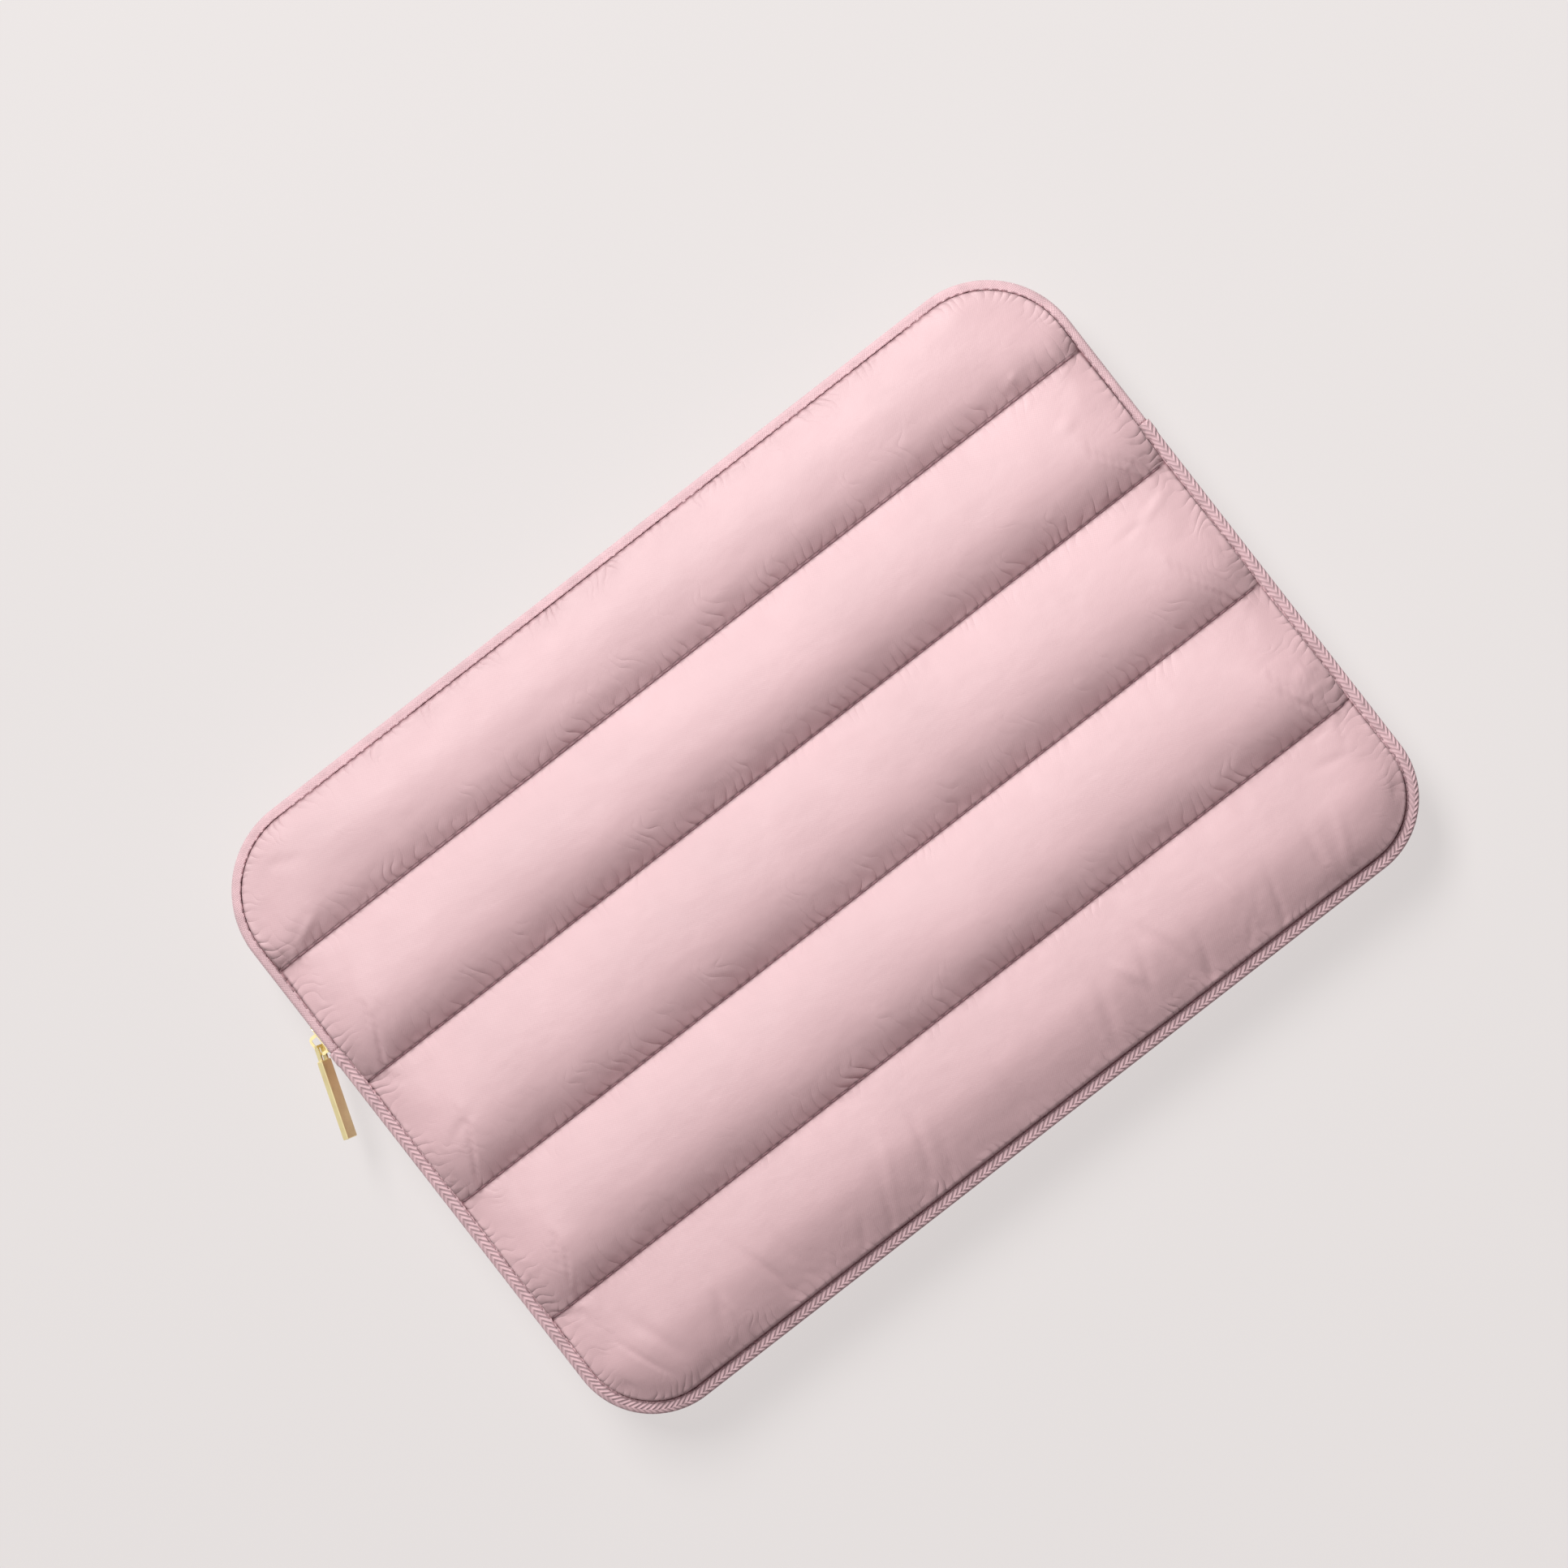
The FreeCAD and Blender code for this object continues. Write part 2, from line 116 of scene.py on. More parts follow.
def table(seed):
    """Random values from -1 to 1, the same ones each time for a seed."""
    if seed not in rng_tables:
        rng_tables[seed] = np.random.default_rng(seed).uniform(-1.0, 1.0, TABLE_SIZE)
    return rng_tables[seed]


def noise_1d(x, seed):
    """Smooth noise from -1 to 1 with one cell per unit."""
    cell = np.floor(x).astype(int)
    values = table(seed)
    return mix(values[cell % TABLE_SIZE], values[(cell + 1) % TABLE_SIZE], smooth(x - cell))


def noise_2d(x, y, seed):
    """Smooth noise over a plane."""
    row = np.floor(y).astype(int)
    here = noise_1d(x + row * ROW_SHIFT, seed)
    return mix(here, noise_1d(x + (row + 1) * ROW_SHIFT, seed), smooth(y - row))


def inset_of(x, y):
    """Distance in from the outside edge of the sleeve."""
    radius = np.where(y > 0, MOUTH_R, CLOSED_R)
    past_x = np.abs(x) - (HALF_X - radius)
    past_y = np.abs(y) - (HALF_Y - radius)
    corner = np.hypot(np.maximum(past_x, 0), np.maximum(past_y, 0))
    return radius - corner - np.minimum(np.maximum(past_x, past_y), 0)


def along_edge(x, y):
    """Distance along the outside edge from a short side's middle, negative to the closed edge."""
    radius = np.where(y > 0, MOUTH_R, CLOSED_R)
    flat_x, flat_y = HALF_X - radius, HALF_Y - radius
    past_x = np.maximum(np.abs(x) - flat_x, 0)
    past_y = np.maximum(np.abs(y) - flat_y, 0)
    turn = np.where(past_x + past_y > 0, np.arctan2(past_y, np.maximum(past_x, 1e-9)), 0)
    along = np.minimum(np.abs(y), flat_y) + turn * radius + flat_x - np.minimum(np.abs(x), flat_x)
    return np.where(y > 0, along, -along)


def sewn(y):
    """0 beside the zip, 1 where the two panels are sewn together."""
    return 1.0 - ramp(y, ZIP_END_Y - 3.0, ZIP_END_Y - 1.0)


# ---- mesh helpers
def add_object(name, data):
    """Put a mesh, light or camera in the scene."""
    made = bpy.data.objects.new(name, data)
    bpy.context.scene.collection.objects.link(made)
    return made


def new_object(name, vertices, faces, material):
    """Smooth-shaded object from millimetre vertices."""
    mesh = bpy.data.meshes.new(name)
    mesh.from_pydata((np.asarray(vertices, float) * MM).tolist(), [], faces)
    mesh.polygons.foreach_set("use_smooth", [True] * len(mesh.polygons))
    mesh.materials.append(material)
    mesh.update()
    return add_object(name, mesh)


def closed_object(name, vertices, faces, material):
    """Object of a closed mesh, with its faces turned outwards."""
    made = new_object(name, vertices, faces, material)
    work = bmesh.new()
    work.from_mesh(made.data)
    bmesh.ops.recalc_face_normals(work, faces=work.faces)
    work.to_mesh(made.data)
    work.free()
    return made


def grid_faces(rows, columns, first=0, flip=False):
    """Quads of a grid of vertices stored row by row."""
    start = first + (np.arange(rows - 1)[:, None] * columns + np.arange(columns - 1)).ravel()
    quads = np.stack([start, start + 1, start + columns + 1, start + columns], axis=1)
    return (quads[:, ::-1] if flip else quads).tolist()


def ring_faces(rings, count, first=0):
    """Faces round a tube of vertices stored ring by ring, and over its two ends."""
    here = np.arange(count)
    ahead = np.roll(here, -1)
    rows = first + np.arange(rings - 1)[:, None] * count
    quads = np.stack([rows + here, rows + ahead, rows + count + ahead, rows + count + here], axis=2)
    last = first + (rings - 1) * count
    ends = [list(range(first, first + count))[::-1], list(range(last, last + count))]
    return quads.reshape(-1, 4).tolist() + ends


def outward(grid):
    """Unit normals of a grid of points, pointing up."""
    normals = np.cross(np.gradient(grid, axis=1), np.gradient(grid, axis=0))
    normals /= np.maximum(np.linalg.norm(normals, axis=2, keepdims=True), 1e-9)
    return normals * np.where(normals[..., 2:] < 0, -1.0, 1.0)


def finer(grid, axis):
    """Cubic midpoints between the points of a grid along one axis."""
    grid = np.moveaxis(grid, axis, 0)
    padded = np.concatenate([2 * grid[:1] - grid[1:2], grid, 2 * grid[-1:] - grid[-2:-1]])
    between = (9 * (padded[1:-2] + padded[2:-1]) - padded[:-3] - padded[3:]) / 16
    made = np.empty((2 * len(grid) - 1, *grid.shape[1:]))
    made[0::2] = grid
    made[1::2] = between
    return np.moveaxis(made, 0, axis)


# ---- path round the edge
def edge_path(beside_zip, step):
    """Points, outward directions and lengths along the edge from the left zip end to the right."""
    radius = MOUTH_R if beside_zip else CLOSED_R
    sign = 1.0 if beside_zip else -1.0
    straight = abs(sign * (HALF_Y - radius) - ZIP_END_Y)
    arc = radius * math.pi / 2
    across = 2 * (HALF_X - radius)
    total = 2 * straight + 2 * arc + across
    s = np.linspace(0.0, total, int(round(total / step)) + 1)
    half = np.minimum(s, total - s)
    turn = np.clip((half - straight) / radius, 0, math.pi / 2)
    flat = np.maximum(half - straight - arc, 0)
    x = -(HALF_X - radius) - radius * np.cos(turn) + flat
    y = ZIP_END_Y + sign * np.minimum(half, straight) + sign * radius * np.sin(turn)
    side = np.where(s > total / 2, -1.0, 1.0)
    points = np.stack([x * side, y], axis=1)
    normals = np.stack([-np.cos(turn) * side, sign * np.sin(turn)], axis=1)
    return points, normals, s


def place_on_edge(points, normals, inset, height):
    """Points of a section at each place along the edge; inset and height are (n, m) arrays."""
    flat = points[:, None, :] - inset[..., None] * normals[:, None, :]
    return np.concatenate([flat, MID_Z + height[..., None]], axis=2)


def rounded_section(corners, steps=5):
    """Closed loop through (inset, height, radius) corners, each rounded by a quarter-like curve."""
    loop = []
    count = len(corners)
    for index, (u, v, radius) in enumerate(corners):
        here = np.array([u, v])
        before = np.array(corners[index - 1][:2]) - here
        after = np.array(corners[(index + 1) % count][:2]) - here
        start = here + before / np.linalg.norm(before) * radius
        end = here + after / np.linalg.norm(after) * radius
        for t in np.linspace(0, 1, steps):
            loop.append((1 - t) ** 2 * start + 2 * t * (1 - t) * here + t * t * end)
    return np.array(loop)


def denser(loop, step):
    """Add points to a closed loop so that none are further apart than a step."""
    made = []
    for a, b in zip(loop, np.roll(loop, -1, axis=0)):
        count = max(1, int(math.ceil(np.linalg.norm(b - a) / step)))
        made += [a + (b - a) * k / count for k in range(count)]
    return np.array(made)


def sweep(name, path, loop, material, shape=None):
    """Closed band along the edge.  shape(inset, height, y, s) may change the section on the way."""
    points, normals, s = path
    inset = np.repeat(loop[None, :, 0], len(s), axis=0)
    height = np.repeat(loop[None, :, 1], len(s), axis=0)
    if shape is not None:
        inset, height = shape(inset, height, points[:, 1:], s[:, None])
    vertices = place_on_edge(points, normals, inset, height).reshape(-1, 3)
    made = closed_object(name, vertices, ring_faces(len(s), len(loop)), material)
    add_band_map(made, loop, s)
    return made


def add_band_map(made, loop, s):
    """UV map in centimetres: along the band, then across it."""
    count = len(loop)
    sides = np.linalg.norm(np.roll(loop, -1, axis=0) - loop, axis=1)
    across = np.concatenate([[0.0], np.cumsum(sides)])
    layer = made.data.uv_layers.new(name="band")
    for face in made.data.polygons:
        corners = [made.data.loops[k].vertex_index for k in face.loop_indices]
        wraps = len(corners) == 4 and {v % count for v in corners} == {0, count - 1}
        for k, vertex in zip(face.loop_indices, corners):
            row, column = divmod(vertex, count)
            v = across[count] if wraps and column == 0 else across[column]
            layer.data[k].uv = (s[row] / 10.0, v / 10.0)


def tube(points, radius, sides):
    """Vertices and faces of a round tube through points, with closed ends."""
    points = np.asarray(points, float)
    tangents = np.gradient(points, axis=0)
    tangents /= np.linalg.norm(tangents, axis=1, keepdims=True)
    reference = np.tile([0.0, 0.0, 1.0], (len(points), 1))
    reference[np.abs(tangents[:, 2]) > 0.95] = (1.0, 0.0, 0.0)
    first = np.cross(tangents, reference)
    first /= np.linalg.norm(first, axis=1, keepdims=True)
    second = np.cross(tangents, first)
    angles = np.arange(sides) * 2 * math.pi / sides
    ring = first[:, None] * np.cos(angles)[:, None] + second[:, None] * np.sin(angles)[:, None]
    vertices = (points[:, None] + radius * ring).reshape(-1, 3)
    return vertices, ring_faces(len(points), sides)


STITCH_R = 0.26  # radius of the thread
STITCH_SIDES = 6
# place along a stitch, and its thickness there as a share of the thread's
STITCH_SHAPE = [(0.0, 0.45), (0.1, 0.85), (0.3, 1.0), (0.7, 1.0), (0.9, 0.85), (1.0, 0.45)]
END_SAG = 0.25  # how far a stitch's ends dip, as a share of its radius


def stitches(name, starts, ends, material):
    """One short rounded thread from each start to its end."""
    angles = np.arange(STITCH_SIDES)[:, None] * 2 * math.pi / STITCH_SIDES
    vertices, faces = [], []
    for start, end in zip(starts, ends):
        run = end - start
        across = np.cross(run, (0.0, 0.0, 1.0))
        across /= np.linalg.norm(across)
        up = np.cross(across, run / np.linalg.norm(run))
        ring = across * np.cos(angles) + up * np.sin(angles)
        faces += ring_faces(len(STITCH_SHAPE), STITCH_SIDES, len(vertices))
        for t, share in STITCH_SHAPE:
            sag = -END_SAG * STITCH_R * (2 * t - 1) ** 2
            vertices.extend(start + run * t + ring * STITCH_R * share + (0, 0, sag))
    return closed_object(name, vertices, faces, material)


# ---- materials
def add_node(tree, kind, inputs=None, **values):
    """A node with its settings; each input is given a value, or linked where it is a socket."""
    made = tree.nodes.new(kind)
    for key, value in values.items():
        setattr(made, key, value)
    for key, value in (inputs or {}).items():
        if isinstance(value, bpy.types.NodeSocket):
            tree.links.new(value, made.inputs[key])
        else:
            made.inputs[key].default_value = value
    return made


class Paint:
    """A node material with a Principled shader and a chain of bumps."""

    def __init__(self, name, colour, roughness, **settings):
        self.material = bpy.data.materials.new(name)
        self.material.use_nodes = True
        self.tree = self.material.node_tree
        self.shader = self.tree.nodes["Principled BSDF"]
        self.shader.inputs["Base Color"].default_value = (*colour, 1.0)
        self.shader.inputs["Roughness"].default_value = roughness
        for socket, value in settings.items():
            self.shader.inputs[socket.replace("_", " ")].default_value = value
        self.place = self.node("ShaderNodeTexCoord")
        self.normal = None

    def node(self, kind, inputs=None, **values):
        return add_node(self.tree, kind, inputs, **values)

    def to_shader(self, output, socket):
        self.tree.links.new(output, self.shader.inputs[socket])

    def coordinates(self, output="Object", scale=(1, 1, 1), turn=0.0):
        mapping = self.node("ShaderNodeMapping", {"Vector": self.place.outputs[output],
                                                  "Scale": scale, "Rotation": (0, 0, turn)})
        return mapping.outputs["Vector"]

    def split(self, vector):
        made = self.node("ShaderNodeSeparateXYZ", {"Vector": vector})
        return [made.outputs[axis] for axis in "XYZ"]

    def millimetres(self, turn=0.0):
        """The object's x, y and z in millimetres, turned about z."""
        return self.split(self.coordinates(scale=(1 / MM, 1 / MM, 1 / MM), turn=turn))

    def band(self):
        """Millimetres along a band and across it."""
        return self.split(self.coordinates("UV", (10, 10, 10)))[:2]

    def noise(self, size_mm, detail=2.0, stretch=(1, 1, 1)):
        """Noise whose features are about size_mm across."""
        place = self.coordinates(scale=[value / (size_mm * MM) for value in stretch])
        made = self.node("ShaderNodeTexNoise", {"Vector": place, "Scale": 1.0, "Detail": detail})
        return made.outputs["Fac"]

    def math(self, operation, a, b=0.0, c=0.0):
        made = self.node("ShaderNodeMath", {0: a, 1: b, 2: c}, operation=operation)
        return made.outputs["Value"]

    def ribs(self, value, pitch):
        """Sine ribs of a pitch along a value, from -1 to 1."""
        return self.math("SINE", self.math("MULTIPLY", value, 2 * math.pi / pitch))

    def bump(self, height, depth_mm, strength=1.0):
        inputs = {"Strength": strength, "Distance": depth_mm * MM, "Height": height}
        if self.normal is not None:
            inputs["Normal"] = self.normal
        self.normal = self.node("ShaderNodeBump", inputs).outputs["Normal"]
        self.to_shader(self.normal, "Normal")

    def tint(self, factor, colour_low, colour_high, low=0.3, high=0.7):
        """Base colour from one to the other as a factor goes from low to high."""
        made = self.node("ShaderNodeValToRGB", {"Fac": factor})
        stops = ((low, colour_low), (high, colour_high))
        for stop, (position, colour) in zip(made.color_ramp.elements, stops):
            stop.position = position
            stop.color = (*colour, 1.0)
        self.to_shader(made.outputs["Color"], "Base Color")

    def vary_roughness(self, factor, low, high):
        made = self.node("ShaderNodeMapRange", {"Value": factor, "To Min": low, "To Max": high})
        self.to_shader(made.outputs["Result"], "Roughness")


def shade(colour, factor):
    return tuple(min(1.0, channel * factor) for channel in colour)


PINK = (0.770, 0.525, 0.550)
# painted shade: the dark colour that the seams' grooves and the cloth beside the tapes are mixed
# towards
PAINTED_SHADE_PINK = (0.150, 0.055, 0.070)
TAPE_PINK = (0.760, 0.525, 0.555)
THREAD_PINK = (0.260, 0.125, 0.145)
TAPE_THREAD_PINK = (0.560, 0.360, 0.390)
LINING_PINK = (0.640, 0.410, 0.440)
GOLD = (1.0, 0.84, 0.46)


def attribute(paint, name):
    """A value stored at the mesh's points."""
    return paint.node("ShaderNodeAttribute", attribute_name=name).outputs["Fac"]


HOLE_SHADE_SHARE = 0.26  # how much deeper the painted shade of a seam is at the needle holes than between them


def paint_seam_shade(paint, colour):
    """Darken the colour with painted shade where the mesh's seam_shade is high, most of all at the
    needle holes.
    """
    x, _, _ = paint.millimetres()
    from_hole = paint.math("ADD", x, QUILT_REACH + (STITCH_PITCH - STITCH_RUN) / 2)
    holes = paint.math("COSINE", paint.math("MULTIPLY", from_hole, 2 * math.pi / STITCH_PITCH))
    depth = paint.math("MULTIPLY_ADD", holes, HOLE_SHADE_SHARE, 1 - HOLE_SHADE_SHARE)
    shading = paint.math("MULTIPLY", attribute(paint, "seam_shade"), depth)
    blend = paint.node("ShaderNodeMix", data_type="RGBA")
    base = paint.shader.inputs["Base Color"].links[0].from_socket
    paint.tree.links.new(shading, blend.inputs["Factor"])
    paint.tree.links.new(base, blend.inputs["A"])
    blend.inputs["B"].default_value = (*colour, 1.0)
    paint.to_shader(blend.outputs["Result"], "Base Color")


def gathered(paint, along, distance, pitch, reach, patch):
    """Rounded folds across a seam, which die away from it and vary from patch to patch."""
    wander = paint.noise(patch, 1.0)
    odd = paint.noise(0.62 * patch, 1.0)
    shift = paint.math("MULTIPLY", wander, 3.4)
    lean = paint.math("MULTIPLY", distance, paint.math("MULTIPLY_ADD", odd, 1.4, -0.7))
    leaning = paint.math("ADD", along, lean)
    phase = paint.math("ADD", paint.math("DIVIDE", leaning, pitch), shift)
    fold = paint.math("ABSOLUTE", paint.math("SINE", paint.math("MULTIPLY", phase, math.pi)))
    fold = paint.math("POWER", fold, 0.7)
    spread = paint.math("MULTIPLY", paint.math("POWER", odd, 2.0), 4 * reach)
    down = paint.math("MULTIPLY", distance, -1.0)
    fade = paint.math("EXPONENT", paint.math("DIVIDE", down, spread))
    return paint.math("MULTIPLY", fold, fade)


def nylon():
    """Satin nylon shell, with painted shade darkening the needle lines where the cloth folds in."""
    paint = Paint("blush_nylon", PINK, 0.48, Sheen_Weight=0.10, Sheen_Roughness=0.35,
                  Specular_IOR_Level=0.42)
    paint.tint(paint.noise(38, 3.0), shade(PINK, 0.965), shade(PINK, 1.03))
    # painted shade in the seams' grooves and beside the tapes, deepest at the needle holes
    paint_seam_shade(paint, PAINTED_SHADE_PINK)
    paint.vary_roughness(paint.noise(9, 2.0), 0.44, 0.54)
    paint.bump(paint.noise(19, 2.0), 0.6, 0.6)
    paint.bump(paint.noise(7.5, 3.0, (1, 1.6, 1)), 0.26, 0.6)
    x, y, _ = paint.millimetres()
    edge = gathered(paint, attribute(paint, "edge_along"), attribute(paint, "edge_gap"),
                    pitch=3.6, reach=2.6, patch=14.0)
    steep = gathered(paint, x, attribute(paint, "steep_gap"), pitch=4.4, reach=3.6, patch=19.0)
    gentle = gathered(paint, x, attribute(paint, "gentle_gap"), pitch=3.3, reach=1.3, patch=17.0)
    for folds, depth in ((edge, 0.5), (steep, 0.5), (gentle, 0.26)):
        paint.bump(folds, depth)
    weave = paint.math("MULTIPLY", paint.ribs(x, 0.62), paint.ribs(y, 0.62))
    paint.bump(weave, 0.012)
    return paint.material


def lining():
    """Smooth twill lining."""
    paint = Paint("lining_cloth", LINING_PINK, 0.55, Sheen_Weight=0.15)
    paint.tint(paint.noise(24, 2.0), shade(LINING_PINK, 0.94), shade(LINING_PINK, 1.05))
    paint.bump(paint.noise(11, 2.0), 0.3, 0.6)
    x, _, _ = paint.millimetres(turn=0.9)
    paint.bump(paint.ribs(x, 0.9), 0.03)
    return paint.material


RIB_PITCH = 2.1  # herringbone tape: ribs along it,
RIB_SLANT = 1.3  # how far they lean,
RIB_COLUMN = 2.4  # and the width of a column


def herringbone():
    """Woven herringbone tape: slanted ribs that turn back at each column."""
    paint = Paint("herringbone_tape", TAPE_PINK, 0.72, Sheen_Weight=0.2)
    along, across = paint.band()
    column = paint.math("PINGPONG", across, RIB_COLUMN)
    slanted = paint.math("ADD", along, paint.math("MULTIPLY", column, RIB_SLANT))
    ribs = paint.ribs(slanted, RIB_PITCH)
    spine = paint.math("COSINE", paint.math("MULTIPLY", across, 2 * math.pi / RIB_COLUMN))
    relief = paint.math("SUBTRACT", ribs, paint.math("MULTIPLY", spine, 0.25))
    patchy = paint.math("ADD", paint.math("MULTIPLY", relief, 0.17), paint.noise(3.0, 3.0))
    paint.tint(patchy, shade(TAPE_PINK, 0.74), shade(TAPE_PINK, 1.12), 0.15, 0.65)
    paint.bump(relief, 0.12)
    paint.bump(paint.noise(0.5, 2.0), 0.05, 0.7)
    return paint.material


def narrow_tape():
    """Finer plain tape beside the zip."""
    paint = Paint("folded_tape", shade(TAPE_PINK, 1.05), 0.62, Sheen_Weight=0.25)
    along, across = paint.band()
    ribs = paint.math("MULTIPLY", paint.ribs(along, 0.8), paint.ribs(across, 0.9))
    patchy = paint.math("ADD", paint.math("MULTIPLY", ribs, 0.08), paint.noise(5.0, 3.0))
    paint.tint(patchy, shade(TAPE_PINK, 0.95), shade(TAPE_PINK, 1.12), 0.3, 0.7)
    paint.bump(ribs, 0.05)
    paint.bump(paint.noise(2.2, 2.0), 0.12, 0.6)
    return paint.material


def zip_cloth():
    """Ribbed woven zip tape."""
    paint = Paint("zip_cloth", shade(TAPE_PINK, 0.95), 0.8, Sheen_Weight=0.15)
    along, across = paint.band()
    ribs = paint.math("ADD", paint.ribs(along, 0.7), paint.ribs(across, 0.55))
    paint.tint(paint.noise(2.5, 2.0), shade(TAPE_PINK, 0.8), shade(TAPE_PINK, 1.05))
    paint.bump(ribs, 0.04)
    return paint.material


def coil_nylon():
    """Shiny drawn nylon of the zip's coils."""
    paint = Paint("coil_nylon", shade(TAPE_PINK, 1.1), 0.34, Specular_IOR_Level=0.5)
    paint.tint(paint.noise(6.0, 2.0), shade(TAPE_PINK, 1.0), shade(TAPE_PINK, 1.22))
    paint.bump(paint.noise(0.4, 2.0), 0.02)
    return paint.material


def sewing_thread(name, colour):
    """Twisted thread."""
    paint = Paint(name, colour, 0.6, Sheen_Weight=0.2)
    x, _, _ = paint.millimetres(turn=0.8)
    paint.tint(paint.noise(1.2, 2.0), shade(colour, 0.8), shade(colour, 1.3))
    paint.bump(paint.ribs(x, 0.3), 0.03)
    return paint.material


def wadding_stuff():
    """Matted white fibre."""
    paint = Paint("wadding_fibre", (0.86, 0.85, 0.83), 0.95, Sheen_Weight=0.3)
    paint.tint(paint.noise(5.0, 4.0), (0.80, 0.79, 0.77), (0.92, 0.91, 0.90))
    paint.bump(paint.noise(1.6, 4.0), 0.5)
    return paint.material


def foam_stuff():
    """Fine-celled grey foam."""
    paint = Paint("foam_sheet", (0.70, 0.70, 0.72), 0.9)
    paint.tint(paint.noise(1.0, 3.0), (0.62, 0.62, 0.65), (0.76, 0.76, 0.78))
    paint.bump(paint.noise(0.7, 3.0), 0.2)
    return paint.material


def gold():
    """Polished pale gold plating with fine handling marks."""
    paint = Paint("pale_gold", GOLD, 0.3, Metallic=0.72)
    paint.tint(paint.noise(7.0, 2.0), shade(GOLD, 0.93), shade(GOLD, 1.06))
    paint.vary_roughness(paint.noise(1.4, 3.0, (1, 5, 1)), 0.24, 0.38)
    paint.bump(paint.noise(0.5, 3.0, (1, 8, 1)), 0.008)
    return paint.material


def floor_paint():
    """Backlit sweep: part of its brightness is its own, which keeps the shadows soft."""
    paint = Paint("pale_floor", (0.19, 0.182, 0.18), 0.8, Emission_Color=(0.66, 0.63, 0.622, 1.0),
                  Emission_Strength=0.96, Specular_IOR_Level=0.2)
    paint.tint(paint.noise(160, 2.0), (0.187, 0.179, 0.177), (0.193, 0.185, 0.183))
    return paint.material


# ---- the quilted panel
SIDE_START = 4.0  # inset where a panel rises out of its edge tape
FOAM_RUN = 9.0  # how far in the foam reaches its full height
ROLL_RUN = 0.9  # width of the steep roll of cloth beside the tape
ROLL_TOP = (9.4, 13.8, 11.2)  # height of that roll: closed edge, short sides, mouth
SIDE_RUN = (30.0, 21.7, 29.0)  # how far in a channel reaches its full height, in that order
CROWN_ROUND = (2.5, 1.8, 1.8)  # and how round it is on the way
OUTER_DROP = 2.5  # the first and last channel are this much lower
COVER_INSET = 2.6  # the shell is sewn in this far under the tape
EDGE_CROWDING = 0.6  # how much closer together a panel's columns are at the short sides
COLUMNS = 168  # points across the coarse grid of a panel
UPPER = HALF_Y - MOUTH_R  # the mouth corners turn above this y
LOWER = CLOSED_R - HALF_Y  # the sewn corners turn below this y


def seam_distance(y):
    """Distance to the nearest quilting seam."""
    return np.abs(y[..., None] - np.array(SEAMS)).min(axis=-1)


def seam_skin(inset):
    """Height of the shell along a seam."""
    return mix(EDGE_SHELL, SEAM_Z, quarter_wave(inset, SIDE_START, FOAM_RUN))


def by_side(y, closed, side, mouth):
    """A value for the closed edge, the two short sides or the mouth, blended at the corners."""
    value = mix(side, mouth, ramp(y, 70, 112))
    return mix(value, closed, ramp(-y, 72, 110))


def crown_skin(inset, y):
    """Height of the shell along the middle of a channel: a short steep roll, then a long crown."""
    top = by_side(y, *ROLL_TOP)
    start = SIDE_START + (SEWN_TAPE_WIDTH - TAPE_WIDTH) * sewn(y)
    roll = quarter_wave(inset, start, ROLL_RUN)
    run = np.clip((inset - start) / by_side(y, *SIDE_RUN), 0, 1)
    crown = np.where((y > SEAMS[0]) | (y < SEAMS[3]), CROWN - OUTER_DROP, CROWN)
    return mix(EDGE_SHELL, top, roll) + (crown - top) * (1 - (1 - run) ** by_side(y, *CROWN_ROUND))


PEAK = 0.62  # place of a channel's crown across its width, from the mouth side
MOUTH_WIDTH = 34.0  # width the first channel would have between two seams
CLOSED_WIDTH = 44.0  # and the last one
STEEP_ROUND = 2.2  # how round a channel is on its closed side
GENTLE_ROUND = 1.6  # and on its mouth side


def fullness(y):
    """0 at a seam and 1 at the crown of a channel, which slopes longer on its mouth side."""
    full = np.ones_like(y)
    for number, seam in enumerate(SEAMS):
        above = SEAMS[number - 1] - seam if number > 0 else MOUTH_WIDTH
        below = seam - SEAMS[number + 1] if number < 3 else CLOSED_WIDTH
        lower_side = np.clip((y - seam) / (above * (1 - PEAK)), 0, 1)
        upper_side = np.clip((seam - y) / (below * PEAK), 0, 1)
        steep = 1 - (1 - lower_side) ** STEEP_ROUND
        gentle = 1 - (1 - upper_side) ** GENTLE_ROUND
        full = np.minimum(full, np.where(y > seam, steep, gentle))
    return full


def puffed(x, y, seed):
    """Height of the quilted shell above the middle plane, uneven as its wadding is."""
    inset = inset_of(x, y)
    low = seam_skin(inset)
    full = fullness(y)
    height = mix(low, np.maximum(crown_skin(inset, y), low), full)
    broad = 0.55 * noise_2d(x / 46, y / 30, seed)
    small = 0.30 * noise_2d(x / 19, y / 15, seed + 1)
    return height + (broad + small) * full * ramp(inset, 6, 30)


def seam_gap(y):
    """Distance past the nearest seam, positive on its steep side, towards the mouth."""
    gaps = y[..., None] - np.array(SEAMS)
    nearest = np.abs(gaps).argmin(axis=-1)
    return np.take_along_axis(gaps, nearest[..., None], axis=-1)[..., 0]


WAVE_LENGTH = 4.6  # waves that the quilting seams pull into the cloth
WAVE_DEPTH = 0.34
WAVE_REACH = 6.5  # how far from a seam they die away
OTHER_SIDE = 17.3  # a jump in the noise, so that a seam's two sides differ
CREASE_COUNT = 46
EDGE_SHARE = 0.62  # share of the creases that start at the closed edge


def puckers(x, y, seed):
    """Shallow waves that the seams pull into the cloth, and creases beside the edges."""
    inset = inset_of(x, y)
    distance = seam_distance(y)
    side = np.where(seam_gap(y) > 0, 0.0, OTHER_SIDE)
    wave = noise_2d(x / WAVE_LENGTH + side + 0.06 * distance, side, seed + 6)
    fade = np.exp(-distance / WAVE_REACH) * ramp(distance, 0.0, 3.0) * ramp(inset, 5, 12)
    return WAVE_DEPTH * wave * fade + creases(x, y, inset, seed)


